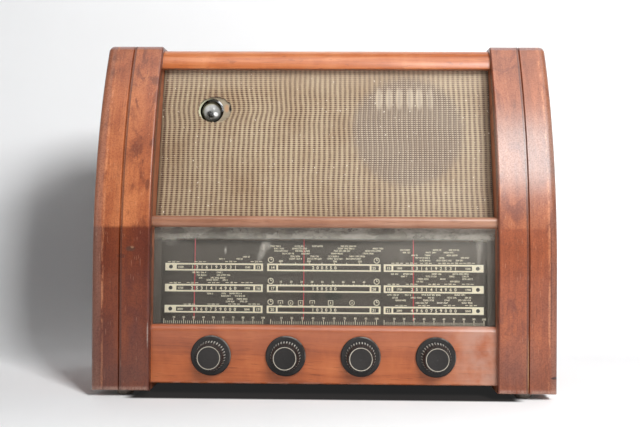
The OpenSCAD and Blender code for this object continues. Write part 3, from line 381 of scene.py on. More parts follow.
def wing_paint(side):
    """One wing's change of tone at the dial, wear, dirt, stains and chips."""
    def paint(g, colour, roughness):
        out, up = g.math("MULTIPLY", g.xyz(g.pos)[X], TO_MM * side), g.height()
        grain = g.streaks((1, 1, 0.2), 160, 4, 0.7)
        ragged = g.math("MULTIPLY_ADD", grain, 3.0, -1.5)
        colour = wing_tone(g, colour, side, out, up, ragged)
        colour, strip = wing_wear(g, colour, side, out, up, grain, ragged)
        colour = wing_outlines(g, colour, out, up, grain, ragged)
        for mx, mz, rx, rz, how, hue in WING_MARKS[side]:
            colour = g.lay(colour, g.spot(mx, mz, rx, rz, 0.4, 0.5), hue, how)
        colour, roughness = wing_film(g, colour, roughness, side, up)
        return colour, g.plus(roughness, g.times(strip, 0.2))
    return paint

def panel_paint(g, colour, roughness):
    """The front panel: redder and duller towards its top, paler at the right, partly wear and partly a
    painted highlight, pale along its foot.
    """
    up = g.height()
    colour = g.lay(colour, g.step(up, 45, 85), (156, 96, 76), 0.4)
    # paler at the right: partly wear, partly a painted highlight of the lamp at the right
    pale = g.times(g.step(g.xyz(g.pos)[X], 0.13, 0.215), g.step(g.noise(g.pos, 25, 4), 0.3, 0.6))
    colour = g.lay(colour, pale, (196, 164, 148), 0.5)
    worn = g.times(g.step(up, PANEL_LOW + 3.5, PANEL_LOW + 1.5), g.step(g.noise(g.pos, 60), 0.4, 0.6))
    return g.lay(colour, worn, (196, 150, 132), 0.35), roughness

def rail_paint(g, colour, roughness):
    """Fine cracks along the grain of the top rail and the top panel."""
    crack = g.step(g.streaks((0.3, 1, 1), 240, 2, 0.4), 0.66, 0.70)
    return g.lay(colour, crack, (110, 60, 40), 0.3), roughness

def mask_paint(g, colour, roughness):
    """The mask's card: a paler top strip with rubbed patches."""
    rubbed = g.streaks((0.6, 1, 1), 70, 4, 0.7)
    pale = g.mix(g.step(rubbed, 0.35, 0.65), (92, 88, 80), (138, 132, 120))
    return g.mix(g.step(g.height(), DIAL_TOP - 17, DIAL_TOP - 14), colour, pale), roughness

BAFFLE_BEHIND = 2.0   # from the cloth's front to the baffle
# what the cut in the cloth lays bare, a tan patch that is a painted highlight and a dark nick that is a
# painted shadow in the gap: place, half-sizes and colour
TEAR_HIGHLIGHT_AND_SHADOW_PX = (((226.8, 108.6), 2.8, 5.5, (168, 134, 104)), ((230.4, 108.6), 1.6, 4.5, (40, 33, 30)))

def baffle_paint(g, colour, roughness):
    """The bit of baffle that the cut in the cloth lays bare, with a painted highlight and a painted shadow.
    """
    # a painted highlight and a painted shadow on the bare baffle
    for place, rx, rz, hue in TEAR_HIGHLIGHT_AND_SHADOW_PX:
        x, z = CLOTH.seen(place, BAFFLE_BEHIND)
        colour = g.lay(colour, g.spot(x, z, rx, rz, 0.35, 0.2), hue)
    return colour, roughness

PLATE_BEHIND = 14   # from the glass's back to the dial's plate
# a bluish patch on the plate: two places, their half-sizes and strengths
BLUISH_PX = (((316, 296), 8, 5, 0.5), ((333, 296), 12, 5, 0.7))

def plate_paint(g, colour, roughness):
    """The dial's plate: a faint bluish patch under the middle bars."""
    for place, rx, rz, how in BLUISH_PX:
        x, z = GLASS.seen(place, GLASS_THICK + PLATE_BEHIND)
        colour = g.lay(colour, g.spot(x, z, rx, rz, 0.3, 0.3), (58, 66, 62), how)
    return colour, roughness

def eye_glass():
    """The tuning eye's bulb: clear in front, greyed to its side, lighter to its left as painted light, with a
    painted shadow round its dome, a painted lit arc and rim at its left, and a painted glint.
    """
    g = Tree("eye_glass")
    off = g.vec("SUBTRACT", g.vec("MULTIPLY", g.pos, (TO_MM, 0, TO_MM)), (EYE_X, 0, EYE_Z))
    x, _, z = g.xyz(off)
    dome_x, dome_z = EYE_X + 0.7, EYE_Z - 2.6
    dome = g.spot(dome_x, dome_z, 11.6, 11.6, 0.1)
    # painted highlight along the dome's left rim
    lit_lip = g.times(g.spot(dome_x, dome_z, 12.6, 12.6, 0.05), g.rest(g.spot(dome_x, dome_z, 11.4, 11.4, 0.06)),
                  g.step(x, 9, -2))
    # painted light: a lit arc at the bulb's left
    lit_crescent = g.times(g.step(g.vec("LENGTH", off), 12.0, 13.2),
                       g.step(g.plus(x, g.times(z, 0.25)), -3, -8))
    blob = g.spot(EYE_X - 1.2, EYE_Z - 5.4, 4.8, 4.4, 0.45, 0.2)
    glint = g.spot(EYE_X + 6.6, EYE_Z - 4.6, 3.0, 2.8, 0.25)
    # lighter to the left: painted light that has passed through the bulb
    cloudy = g.plus(g.times(g.noise(g.pos, 110), 0.7), g.step(x, 6, -9, 0.0, 0.5))
    hue = g.mix(cloudy, (136, 136, 132), (246, 246, 242))
    # painted shadow round the dome
    hue = g.mix(dome, (86, 80, 62), hue)
    hue = g.lay(hue, g.math("MAXIMUM", lit_lip, lit_crescent), (222, 220, 192))
    hue = g.lay(hue, blob, (70, 70, 68))
    hue = g.lay(hue, glint, WHITE)
    haze = g.either(g.times(g.rest(glint), 0.5), g.node("BsdfDiffuse", {"Color": hue}),
                    g.node("BsdfTranslucent", {"Color": hue}))
    amount = g.math("MAXIMUM", g.math("MULTIPLY_ADD", g.rest(blob), 0.6, 0.3), glint)
    body = g.either(amount, g.node("BsdfTransparent", {"Color": (0.97, 0.97, 0.97, 1)}), haze)
    gloss = g.node("BsdfGlossy", {"Color": WHITE, "Roughness": 0.04})
    return g.done(g.either(g.shine(), body, gloss))

def eye_paint(g, colour, roughness):
    """The eye's bright dish, its dark disc in front, and a painted shadow of the disc low at the left."""
    # painted shadow of the disc on the dish
    disc_shadow = g.spot(EYE_X - 4.2, EYE_Z - 6.5, 5.2, 5.2, 0.12)
    colour = g.lay(colour, disc_shadow, (52, 50, 48), 0.85)
    ahead = g.step(g.xyz(g.pos)[Y], y_of(91.0), y_of(90.5))
    return g.mix(ahead, colour, (64, 60, 60)), roughness

FLUTES = 32   # round a knob's grip

def knob_place(g):
    """Radius and angle about the nearest knob's axis, and the depth."""
    x, y, z = g.xyz(g.pos)
    across = g.math("FLOORED_MODULO", g.math("MULTIPLY_ADD", x, TO_MM, 2 * KNOB_PITCH), KNOB_PITCH)
    across = g.math("SUBTRACT", across, KNOB_PITCH / 2)
    up = g.math("MULTIPLY_ADD", z, TO_MM, -KNOB_Z)
    radius = g.math("SQRT", g.plus(g.times(across, across), g.times(up, up)))
    return radius, g.math("ARCTAN2", up, across), g.math("MULTIPLY_ADD", y, TO_MM, FRONT)

def knob_paint(g, colour, roughness):
    """Pale ridges round the grip, partly dust and partly painted highlight, and a painted highlight on the
    skirt's rim at its upper right.
    """
    radius, angle, depth = knob_place(g)
    # pale ridges: partly dust, partly painted highlight
    ridge = g.step(g.math("COSINE", g.times(angle, FLUTES)), -0.1, -0.7)
    flank = g.times(g.step(radius, 16.2, 16.6), g.step(depth, -5.0, 0.0), g.step(depth, 6.8, 6.2),
                    g.step(g.noise(g.pos, 300), 0.3, 0.5))
    colour = g.lay(colour, g.times(ridge, flank), (206, 202, 192), 0.85)
    # painted highlight: the skirt's rim is paler only at its upper right, where the lamp is
    rubbed = g.step(g.math("COSINE", g.math("SUBTRACT", angle, 0.7)), 0.2, 0.75)
    rim = g.times(g.step(radius, 24.4, 25.2), g.step(depth, 9.0, 8.4), rubbed,
                  g.step(g.noise(g.pos, 90), 0.35, 0.6))
    return g.lay(colour, rim, (140, 136, 130), 0.6), roughness

def ring_paint(g, colour, roughness):
    """The ring is dark with dirt but for a rubbed line about a millimetre wide."""
    radius = knob_place(g)[0]
    clean = g.times(g.step(radius, 13.8, 14.1), g.step(radius, 14.9, 14.6))
    return g.mix(clean, (40, 37, 33), colour), roughness

def dust_on(g, share):
    """How much of the glass dust hides, cloudy and in streaks, and the dust's fine grain."""
    fine = g.noise(g.pos, 500, 3, 0.6)
    cloud = g.step(g.noise(g.pos, 9, 5, 0.65), 0.25, 0.8, 0.55, 1.35)
    streak = g.step(g.streaks((1, 1, 0.35), 22, 3, 0.6, 1.0), 0.56, 0.75)
    amount = g.times(cloud, share, g.step(fine, 0.2, 0.8, 0.8, 1.2))
    return g.plus(amount, g.times(streak, share * 0.5)), fine

def dusty(g, amount, hue, shine):
    """Clear glass that shines, under that amount of dust."""
    clear = g.node("BsdfTransparent", {"Color": (0.99, 0.985, 0.97, 1)})
    body = g.either(amount, clear, g.node("BsdfDiffuse", {"Color": hue}))
    return g.done(g.either(shine, body, g.node("BsdfGlossy", {"Color": WHITE, "Roughness": 0.05})))

def valve_glass():
    """The valves' dull bulbs."""
    g = Tree("valve_glass")
    return dusty(g, dust_on(g, 0.10)[0], (120, 124, 122), g.shine())

# smears on the dial glass: place, half-sizes and strength
SMEARS_PX = (((266, 245.5), 6, 5, 0.30), ((262.5, 251), 4, 7, 0.28), ((259.5, 257.5), 3, 6, 0.2),
             ((225.5, 250.5), 1.6, 4, 0.35), ((479.5, 246), 4, 8, 0.22), ((479, 262), 2.5, 12, 0.15),
             ((402, 268), 3, 30, 0.06), ((170, 240), 12, 6, 0.12))

def dial_glass():
    """The dial's glass: dustier to its top and right, smeared, with dust and shine on its front only."""
    g = Tree("dusty_glass")
    amount, fine = dust_on(g, 0.025)
    up, x = g.height(), g.xyz(g.pos)[X]
    rubbed = g.step(g.streaks((0.5, 1, 1), 60, 5, 0.7), 0.3, 0.7, 0.08, 0.42)
    amount = g.plus(amount, g.step(up, 100, 205, 0.015, 0.06))
    amount = g.plus(amount, g.times(g.step(up, 150, 200), g.step(x, -0.02, 0.16), 0.08))
    amount = g.plus(amount, g.times(g.step(up, DIAL_TOP - 18, DIAL_TOP - 13), rubbed))
    for place, rx, rz, how in SMEARS_PX:
        smear = g.times(g.spot(*GLASS.seen(place), rx, rz, 0.6, 0.5), how, g.step(fine, 0.3, 0.6, 0.5, 1.0))
        amount = g.plus(amount, smear)
    off = g.vec("SUBTRACT", g.pos, (0, y_of(GLASS.foot_d), GLASS.foot_z * MM))
    front = g.step(g.vec("DOT_PRODUCT", off, (0, TO_MM, -TO_MM * GLASS.slope)), 1.8, 1.2)
    shine = g.times(g.shine(), front)
    return dusty(g, g.times(amount, front), (214, 208, 196), shine)

# The grille cloth: one woven sheet, tucked in behind the rails
CLOTH_HALF = BAY_HALF - 1
CLOTH_LOW = CLOTH.foot_z - 12
CLOTH_HIGH = corners("grille_cloth")[1][Z] + 14
CLOTH_LONG = (CLOTH_HIGH - CLOTH_LOW) * CLOTH.stretch   # along the lean
CLOTH_CELLS = (396, 236)     # across and up
RIB, ROW = 6.8, 3.0          # from one rib or row to the next
HOLE_PX = (215, 109.9)       # the middle of the cloth's hole round the eye
HOLE_HALF = (22.7, 17.9)     # its half-width and half-height
SPEAKER_PX = (408, 131.6)    # the middle of the loudspeaker's opening
SPEAKER_R = 75
BASKET_Y_PX = 99             # the height of the basket's pale strips
BASKET_PX = ((379, 1), (389, 1), (399, 1), (410, 1), (419, 1), (430, 0.5))   # place and strength

def cloth_age(g, colour):
    """Clouds of brown, and painted light: the cloth darker to the left and paler to the right and top."""
    x, _, z = g.xyz(g.pos)
    cloud = g.step(g.noise(g.pos, 14, 4, 0.6), 0.35, 0.75, 0.0, 0.45)
    colour = g.stain(colour, cloud, (196, 168, 140))
    # painted light from the upper right: darker to the left, paler to the right and top
    colour = g.stain(colour, g.step(x, -0.05, -0.22, 0.0, 0.6), (226, 222, 216))
    colour = g.lay(colour, g.step(x, -0.1, 0.2, 0.0, 0.10), (206, 200, 190))
    return g.lay(colour, g.step(z, 0.40, 0.436, 0.0, 0.25), (214, 194, 170))

def basket_strips(g):
    """Where the pale strips of the loudspeaker's basket show through."""
    strips = []
    for px, how in BASKET_PX:
        strips.append(g.times(g.spot(*CLOTH.seen((px, BASKET_Y_PX)), 4.6, 15, 0.3), how))
    shown = strips[0]
    for strip in strips[1:]:
        shown = g.math("MAXIMUM", shown, strip)
    return shown

def over_speaker(g, colour, strips, ribs, row, thread):
    """Painted shade where the cloth lies over the loudspeaker's dark opening: a darker net, apart from the
    basket's strips.
    """
    # painted shade of the dark opening behind the cloth
    dark = g.times(g.spot(*CLOTH.seen(SPEAKER_PX), SPEAKER_R, SPEAKER_R, 0.10, 0.08),
                   g.rest(g.times(strips, 0.7)))
    eyelet = g.times(g.step(g.math("FRACT", g.times(ribs, 2)), 0.30, 0.55), g.step(row, 0.45, 0.25))
    net = g.mix(eyelet, (106, 92, 84), g.mix(thread, (188, 176, 156), (230, 222, 206)))
    return g.lay(colour, dark, g.mix(0.45, g.mix(1, colour, (236, 234, 236), "MULTIPLY"), net))

def cloth_weave():
    """Ribbed grille cloth: the mesh's UV counts ribs across and rows up."""
    g = Tree("grille_weave")
    ribs, rows, _ = g.xyz(g.uv)
    ragged = g.math("MULTIPLY_ADD", g.noise(g.pos, 700, 3, 0.6), 0.28, -0.14)
    rib, row = g.plus(g.math("FRACT", ribs), ragged), g.math("FRACT", rows)
    bar = g.times(g.step(rib, 0.02, 0.14), g.step(rib, 0.56, 0.44))
    weft = g.times(g.step(row, 0.0, 0.12), g.step(row, 0.44, 0.32))
    thread = g.streaks((1, 1, 2.2), 900, 3, 0.6)
    cream = g.mix(thread, (158, 140, 110), (216, 202, 170))
    brown = g.mix(thread, (90, 68, 56), (148, 120, 100))
    pit = g.times(g.step(rib, 0.60, 0.70), g.step(rib, 0.98, 0.88), g.rest(weft),
                  g.step(g.noise(g.pos, 260, 2), 0.35, 0.5))
    gap = g.lay(g.lay(brown, weft, cream, 0.6), pit, (60, 40, 36), 0.7)
    colour = g.mix(bar, gap, g.lay(cream, g.rest(weft), brown, 0.5))
    colour = cloth_age(g, colour)
    strips = basket_strips(g)
    row = g.plus(row, g.times(ragged, 0.6))
    colour = over_speaker(g, colour, strips, ribs, row, thread)
    x = g.xyz(g.pos)[X]
    shade = g.plus(g.step(x, 0.208, 0.219), g.step(x, -0.214, -0.221))
    colour = g.stain(colour, shade, (142, 126, 116), 0.6)
    colour = g.lay(colour, strips, (226, 216, 198), 0.22)
    flecks = g.step(g.noise(g.pos, 330, 1, 0.4), 0.74, 0.79)
    colour = g.lay(colour, flecks, (232, 222, 204), 0.7)
    relief = g.bump(g.total((bar, 0.5), (thread, 0.5)), 0.5, 0.0006)
    return g.done(g.node("BsdfPrincipled", {"Base Color": colour, "Roughness": 0.85, "Sheen Weight": 0.25,
                                            "Sheen Roughness": 0.5, "Specular IOR Level": 0.2,
                                            "Normal": relief}))

def new_piece(name, mesh, material, smooth=False):
    """A piece made from a mesh, which rides on the cabinet."""
    obj = put(name, mesh)
    mesh.materials.append(material)
    if smooth:
        mesh.polygons.foreach_set("use_smooth", [True] * len(mesh.polygons))
    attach(obj, "cabinet")
    return obj

def drift(x, z, across, up, layer):
    """A value that wanders slowly over the cloth."""
    return noise.noise(Vector((x * across, z * up, layer)))

def cloth_point(x, z, t, hole_x, hole_z):
    """The rib and the row at a place of the cloth, and how far it stands out there."""
    off = x - hole_x
    fall = abs(off) / 110 + ((z - hole_z) / (23 if z > hole_z else 13)) ** 2
    bow = (1.05 if off > 0 else 0.6) * math.tanh(off / 12) * math.exp(-fall)
    sway = 0.22 * drift(x, z, 0.012, 0.02, 0) - bow + 0.07 * drift(x, z, 0.08, 0.06, 4)
    rib = x / RIB + sway + 100
    row = t * CLOTH_LONG / ROW + 0.25 * drift(x, z, 0.015, 0.012, 9)
    from_ridge = (rib % 1.0 - 0.28) / 0.30
    lift = 0.42 * max(0.0, 1 - from_ridge ** 2) ** 0.5
    lift += 0.10 * math.cos(2 * math.pi * (row - 0.22))
    lift += 0.25 * drift(x, z, 0.03, 0.03, 2)
    return rib, row, lift

def in_hole(face_x, face_z, hole_x, hole_z):
    """Whether a place of the cloth lies in the ragged hole round the eye."""
    far = math.hypot((face_x - hole_x) / HOLE_HALF[0], (face_z - hole_z) / HOLE_HALF[1])
    return far + 0.06 * drift(face_x, face_z, 0.35, 0.35, 1) < 1

def cloth_mesh():
    """The sheet with its ribs and rows in relief, their numbers as UV, and the hole cut out."""
    across, up = CLOTH_CELLS
    hole = CLOTH.seen(HOLE_PX)
    bm = bmesh.new()
    layer = bm.loops.layers.uv.new("weave")
    grid, weave = [], {}
    for j in range(up + 1):
        z = CLOTH_LOW + j / up * (CLOTH_HIGH - CLOTH_LOW)
        for i in range(across + 1):
            x = -CLOTH_HALF + 2 * CLOTH_HALF * i / across
            rib, row, lift = cloth_point(x, z, j / up, *hole)
            grid.append(bm.verts.new((x * MM, y_of(CLOTH.depth(z) - lift), z * MM)))
            weave[grid[-1]] = (rib, row)
    for j in range(up):
        for i in range(across):
            a = j * (across + 1) + i
            quad = [grid[a], grid[a + 1], grid[a + across + 2], grid[a + across + 1]]
            x, z = ((quad[0].co[axis] + quad[2].co[axis]) / 2 / MM for axis in (X, Z))
            if in_hole(x, z, *hole):
                continue
            for loop in bm.faces.new(quad).loops:
                loop[layer].uv = weave[loop.vert]
    bmesh.ops.delete(bm, geom=[v for v in bm.verts if not v.link_faces], context="VERTS")
    mesh = bpy.data.meshes.new("grille_sheet")
    bm.to_mesh(mesh)
    bm.free()
    return mesh

def grille():
    """The cloth as one sheet, in place of the plain CAD solid."""
    obj = new_piece("grille_sheet", cloth_mesh(), cloth_weave(), smooth=True)
    thick = obj.modifiers.new("thickness", "SOLIDIFY")
    thick.thickness = 0.5 * MM
    thick.offset = 1
    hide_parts("grille_cloth")

COLLAR_R = 17.4                       # the collar lines the eye's hole
COLLAR_START, COLLAR_SWEEP = 82, 186  # degrees, round the hole's left
COLLAR_STEPS = 24
COLLAR_BEHIND, COLLAR_DEEP = 3.5, 1.5

def eye_collar():
    """A pale collar at the left of the eye's hole, standing for the hole's bare wall where the lamp lights
    it, so painted light with a painted glow: widest half-way, and leaning with the baffle.
    """
    bm = bmesh.new()
    rings = []
    for i in range(COLLAR_STEPS + 1):
        a = math.radians(COLLAR_START + COLLAR_SWEEP * i / COLLAR_STEPS)
        inner = COLLAR_R - 0.3 - 2.2 * math.sin(math.pi * i / COLLAR_STEPS)
        ring = []
        for r, back in ((inner, 0), (COLLAR_R, 0), (COLLAR_R, COLLAR_DEEP), (inner, COLLAR_DEEP)):
            x, z = EYE_X + r * math.cos(a), EYE_Z + r * math.sin(a)
            ring.append(bm.verts.new((x * MM, y_of(CLOTH.depth(z) + COLLAR_BEHIND + back), z * MM)))
        rings.append(ring)
    for a, b in zip(rings, rings[1:]):
        for k in range(4):
            bm.faces.new((a[k], a[(k + 1) % 4], b[(k + 1) % 4], b[k]))
    bm.faces.new(rings[0])
    bm.faces.new(rings[-1][::-1])
    bmesh.ops.recalc_face_normals(bm, faces=bm.faces)
    mesh = bpy.data.meshes.new("eye_collar")
    bm.to_mesh(mesh)
    bm.free()
    # pale and glowing: painted light on the lit left wall of the hole
    card = plain("collar_card", (176, 176, 146), (226, 224, 196), 0.6, size=120, bump=0.1, painted_glow=0.1)
    new_piece("eye_collar", mesh, card)

def at_glass(px, py):
    """x and height on the back of the dial glass for a pixel."""
    return GLASS.seen((px, py), GLASS_THICK)

class Print:
    """Printed marks, gathered into one thin mesh on the back of the dial glass."""

    def __init__(self, name, lift=0.05, thick=0.12):
        self.bm, self.name, self.lift, self.thick = bmesh.new(), name, lift, thick

    def point(self, x, z, behind):
        """The frame's point at a place on the back of the glass, or behind it."""
        return Vector((x * MM, y_of(GLASS.depth(z) + GLASS_THICK + behind), z * MM))

    def outline(self, points):
        near = [self.bm.verts.new(self.point(x, z, self.lift)) for x, z in points]
        far = [self.bm.verts.new(self.point(x, z, self.lift + self.thick)) for x, z in points]
        self.bm.faces.new(near)
        self.bm.faces.new(far[::-1])
        n = len(points)
        for i in range(n):
            self.bm.faces.new([near[i], far[i], far[(i + 1) % n], near[(i + 1) % n]])

    def box(self, x0, x1, z0, z1):
        self.outline([(x0, z0), (x1, z0), (x1, z1), (x0, z1)])

    def tick(self, x, half, z0, z1):
        self.box(x - half, x + half, z0, z1)

    def disc(self, x, z, r, n=16):
        turns = [2 * math.pi * i / n for i in range(n)]
        self.outline([(x + r * math.cos(a), z + r * math.sin(a)) for a in turns])

    def ring(self, x, z, r, wall, n=16):
        turns = [2 * math.pi * i / n for i in range(n + 1)]
        for a, b in zip(turns, turns[1:]):
            corner = ((a, r), (b, r), (b, r - wall), (a, r - wall))
            self.outline([(x + far * math.cos(turn), z + far * math.sin(turn)) for turn, far in corner])

    def figures(self, text, x, z, high, spread=1.0):
        """Figures of that height, centred on x and standing on z."""
        curve = bpy.data.curves.new("figures", "FONT")
        curve.body = str(text)
        curve.size = high / 0.70
        curve.align_x = "CENTER"
        curve.space_character = spread
        curve.offset = 0.025 * curve.size
        curve.resolution_u = 2
        curve.extrude = self.thick / 2
        temp = put("figures", curve)
        graph = bpy.context.evaluated_depsgraph_get()
        mesh = bpy.data.meshes.new_from_object(temp.evaluated_get(graph))
        for v in mesh.vertices:
            v.co = self.point(x + v.co.x, z + v.co.y, self.lift + self.thick / 2 - v.co.z)
        self.bm.from_mesh(mesh)
        bpy.data.objects.remove(temp)
        bpy.data.curves.remove(curve)
        bpy.data.meshes.remove(mesh)

    def make(self, material):
        """The finished piece."""
        bmesh.ops.remove_doubles(self.bm, verts=self.bm.verts, dist=1e-7)
        bmesh.ops.recalc_face_normals(self.bm, faces=self.bm.faces)
        mesh = bpy.data.meshes.new(self.name)
        self.bm.to_mesh(mesh)
        self.bm.free()
        new_piece(self.name, mesh, material)

# The dial's nine bars
BAR_ROWS = (168.7, 141.2, 113.7)   # heights of the three rows
BAR_SPANS = ((-209, -80), (-74.6, 74.6), (78.5, 209))
BAR_HALF = 4.95                    # half a bar's height
UPPER_LINE, LOWER_LINE = 2.2, 2.0  # thickness of a bar's two long lines
STRIPS = (("1316192531", "200550", "1316192531"), ("2531414960", "150500", "2531414960"),
          ("4960759000", "102030", "4960759000"))   # the figures along the bars, row by row

def middle_bar(cream, row, z, x0, x1):
    """A middle bar's figures and the numbers boxed at its ends; gives its uprights and their widths."""
    for i, x in enumerate((x0 + 7.3, x1 - 8.5)):
        cream.figures(14 + 3 * row + 11 * i, x, z - 1.9, 3.5)
    cream.figures(STRIPS[row][1], 0.6, z - 2.2, 4.2, 1.95)
    return (x0, 2.6), (x0 + 12.0, 2.4), (x1 - 14.4, 2.4), (x1 - 2.6, 2.6)

def outer_bar(cream, dark, row, column, z, x0, x1):
    """An outer bar's figures, its boxed number and the disc in its block; gives its uprights."""
    flip, start, stop = (1, x0, x1) if column == 0 else (-1, x1, x0)
    dark.disc(start + flip * 7.5, z, 2.6)
    cream.figures(2 * row + column // 2 + 1, start + flip * 7.5, z - 1.2, 2.4)
    cream.figures(13 + 3 * row + column, stop - flip * 6.3, z - 1.9, 3.5)
    for i, x in enumerate((x0 + 20.5, x1 - 20.5)):
        cream.figures(1500 + 250 * row + 40 * i, x, z - 1.5, 2.6)
    cream.figures(STRIPS[row][column], (x0 + x1) / 2 - flip * 0.2, z - 2.2, 4.2, 2.1)
    return ((min(start, start + flip * 15.1), 15.1),
            (min(stop - flip * 12.6, stop - flip * 10.1), 2.5), (min(stop, stop - flip * 2.6), 2.6))

def dial_bars(cream, dark):
    """The nine framed bars."""
    for row, z in enumerate(BAR_ROWS):
        low, high = z - BAR_HALF, z + BAR_HALF
        for column, (x0, x1) in enumerate(BAR_SPANS):
            cream.box(x0, x1, high - UPPER_LINE, high)
            cream.box(x0, x1, low, low + LOWER_LINE)
            if column == 1:
                uprights = middle_bar(cream, row, z, x0, x1)
            else:
                uprights = outer_bar(cream, dark, row, column, z, x0, x1)
            for x, wide in uprights:
                cream.box(x, x + wide, low + LOWER_LINE, high - UPPER_LINE)

# Lines of tiny lettering: the height of each, then the starts and ends of its words
LINES_PX = (
    (258.9, 218, 226, 236, 243), (256.8, 242, 250.6), (272.4, 190, 208, 216, 223),
    (275.1, 196, 207, 215, 232), (277.8, 198, 203, 209, 227), (280, 205, 220, 222, 228),
    (293.5, 206, 214, 221, 226, 228, 243), (296, 220, 232, 234, 246), (299, 226, 234, 236, 248),
    (301.5, 225, 235, 239, 248), (246.3, 269, 282, 294, 305, 311, 324, 339, 358),
    (248.6, 273, 285, 291, 308, 336, 356, 371, 385), (251, 273, 289, 294, 311, 332, 352, 363, 383),
    (253.6, 281, 295, 300, 311, 330, 344, 361, 375), (256.4, 289, 301, 309, 320, 327, 340, 347, 367),
    (258.9, 288, 303, 305, 324, 326, 344, 345, 362), (250.1, 399, 411, 432, 442, 448, 460),
    (252.6, 402, 411, 425, 437, 443, 454), (255.4, 411, 418, 424, 431, 445, 459),
    (258, 414, 431, 438, 445, 460, 470), (260.6, 419, 431, 435, 453, 455, 464),
    (274.1, 390, 399, 402, 414, 431, 442, 451, 470), (276.5, 400, 408, 424, 438, 448, 456, 462, 469),
    (279.1, 417, 429, 439, 447, 461, 474), (281.6, 415, 424, 449, 461),
    (295, 386, 400, 404, 412, 420, 442, 454, 466),
    (297.8, 391, 399, 410, 422, 427, 435, 446, 457, 464, 472),
    (300.4, 394, 407, 422, 435, 444, 450, 457, 472), (303, 414, 429, 436, 449, 460, 474))
# The dashed marks over the outer bars: the height of each row, then the marks' middles
DASHES_PX = (
    (261.6, 173.8, 200.2, 230.8, 256.4), (282.6, 175.2, 192.4, 213.6, 231.4, 247),
    (304.1, 189.3, 213.2, 234, 254), (263.3, 397.2, 411.6, 426, 444, 456.6, 469),
    (284.3, 393.4, 411.6, 434, 450, 467.8), (305.6, 401, 424, 449.4, 471))
TINY, TINY_PITCH = 2.1, 1.62   # height of the tiny figures, and from one to the next
MM_PER_PX = 1.3                # on the dial

def tiny_text(wide_px):
    """Numbers of up to five figures that fill a word's width."""
    text, left = "", round(wide_px * MM_PER_PX / TINY_PITCH)
    while left > 0:
        n = min(left, random.randint(3, 5))
        text += " " * bool(text) + str(random.randint(10 ** (n - 1), 10 ** n - 1))
        left -= n + 1
    return text

def tiny_figures(cream):
    """Rows of tiny numbers where the photographed dial has its fine lettering."""
    for py, *ends in LINES_PX:
        for a, b in zip(ends[::2], ends[1::2]):
            x, z = at_glass((a + b) / 2, py)
            cream.figures(tiny_text(b - a), x, z - 1.0, TINY)
    for py, *middles in DASHES_PX:
        for px in middles:
            x, z = at_glass(px, py)
            cream.figures(random.randint(11, 98) * 5, x, z - 1.0, 2.0)
            for a in (x - 7.6, x + 3.6):
                cream.box(a, a + 4.0, z - 0.4, z + 0.4)

ABOVE_BAR = 4.9   # from a bar's middle to the foot of the ticks over it
RINGS_PX, RINGS_Y_PX = (270.7, 376.6), 282
UPPER_NUMBERS_PX, UPPER_NUMBERS_Y_PX = (280.8, 308.9, 334.8, 359.8), 261.5
UPPER_TICKS_PX, UPPER_TICKS_Y_PX = (280.8, 295.5, 309.5, 322, 334.6, 346.4, 359.6), 263
LOWER_TICKS_PX, LOWER_TICKS_Y_PX = [280.75 + 10.4 * i for i in range(9)], 282.1

def ring_marks(cream):
    """A ring with a stem and a foot at both ends over each middle bar."""
    for z in BAR_ROWS:
        for px in RINGS_PX:
            x = at_glass(px, RINGS_Y_PX)[0]
            cream.ring(x, z + 9.7, 3.9, 0.9)
            cream.tick(x, 0.4, z + 9.7, z + 12.2)
            cream.box(x + 0.4, x + 1.7, z + 9.7, z + 10.5)

def middle_scales(cream):
    """Tick marks and numbers over the two upper middle bars."""
    upper, lower, _ = BAR_ROWS
    for i, px in enumerate(UPPER_NUMBERS_PX):
        cream.figures(600 + 50 * i, at_glass(px, UPPER_NUMBERS_Y_PX)[0], upper + 7.0, 2.5)
    for px in UPPER_TICKS_PX:
        cream.tick(at_glass(px, UPPER_TICKS_Y_PX)[0], 0.45, upper + ABOVE_BAR, upper + 6.5)
    for i, px in enumerate(LOWER_TICKS_PX):
        x = at_glass(px, LOWER_TICKS_Y_PX)[0]
        cream.figures(16 + 4 * i, x, lower + 7.6, 2.5)
        cream.tick(x, 0.45, lower + ABOVE_BAR, lower + 6.3)
        for a in (x + 3.0, x + 7.0):
            cream.box(a, a + 0.8, lower + ABOVE_BAR, lower + 5.8)

BADGES_PX, BADGES_Y_PX = (280.4, 290.6, 300.6, 312.2, 330.6, 352), 302.9
RING_BADGES = (1, 5)
SHORT_BADGES = (0, 3)   # frames whose sides end half-way down

def badges(cream):
    """Small ringed or framed numbers over the lowest middle bar."""
    for i, px in enumerate(BADGES_PX):
        x, z = at_glass(px, BADGES_Y_PX)
        if i in RING_BADGES:
            cream.ring(x, z, 3.5, 0.7)
        else:
            foot, down = (2.0, 1.0) if i in SHORT_BADGES else (3.4, 3.2)
            cream.tick(x, 3.4, z + 2.5, z + 3.2)
            for a in (x - 3.4, x + 2.7):
                cream.box(a, a + 0.7, z - down, z + 2.5)
            cream.tick(x, foot, z - 3.4, z - 2.7)
        cream.figures((i * 7 + 3) % 9 + 1, x, z - 1.2, 2.4)

# The logging scales: first and last tick, and their height
SCALES_PX = ((163.8, 262.8, 322), (270.6, 376.5, 323), (384.1, 484, 324))
SCALE_FOOT = GLASS.foot_z + 0.5
SCALE_STEPS = 50

def logging_scales(cream):
    """A scale of ticks, with a number at every fifth, along the foot of each column."""
    for first, last, py in SCALES_PX:
        x0, x1 = at_glass(first, py)[0], at_glass(last, py)[0]
        for i in range(SCALE_STEPS + 1):
            x = x0 + (x1 - x0) * i / SCALE_STEPS
            half, high = (0.4, 6.5) if i % 5 == 0 else (0.28, 3.9)
            cream.tick(x, half, SCALE_FOOT, SCALE_FOOT + high)
            if i and i % 5 == 0:
                cream.figures(i * 2, x, SCALE_FOOT + 7.1, 2.5)

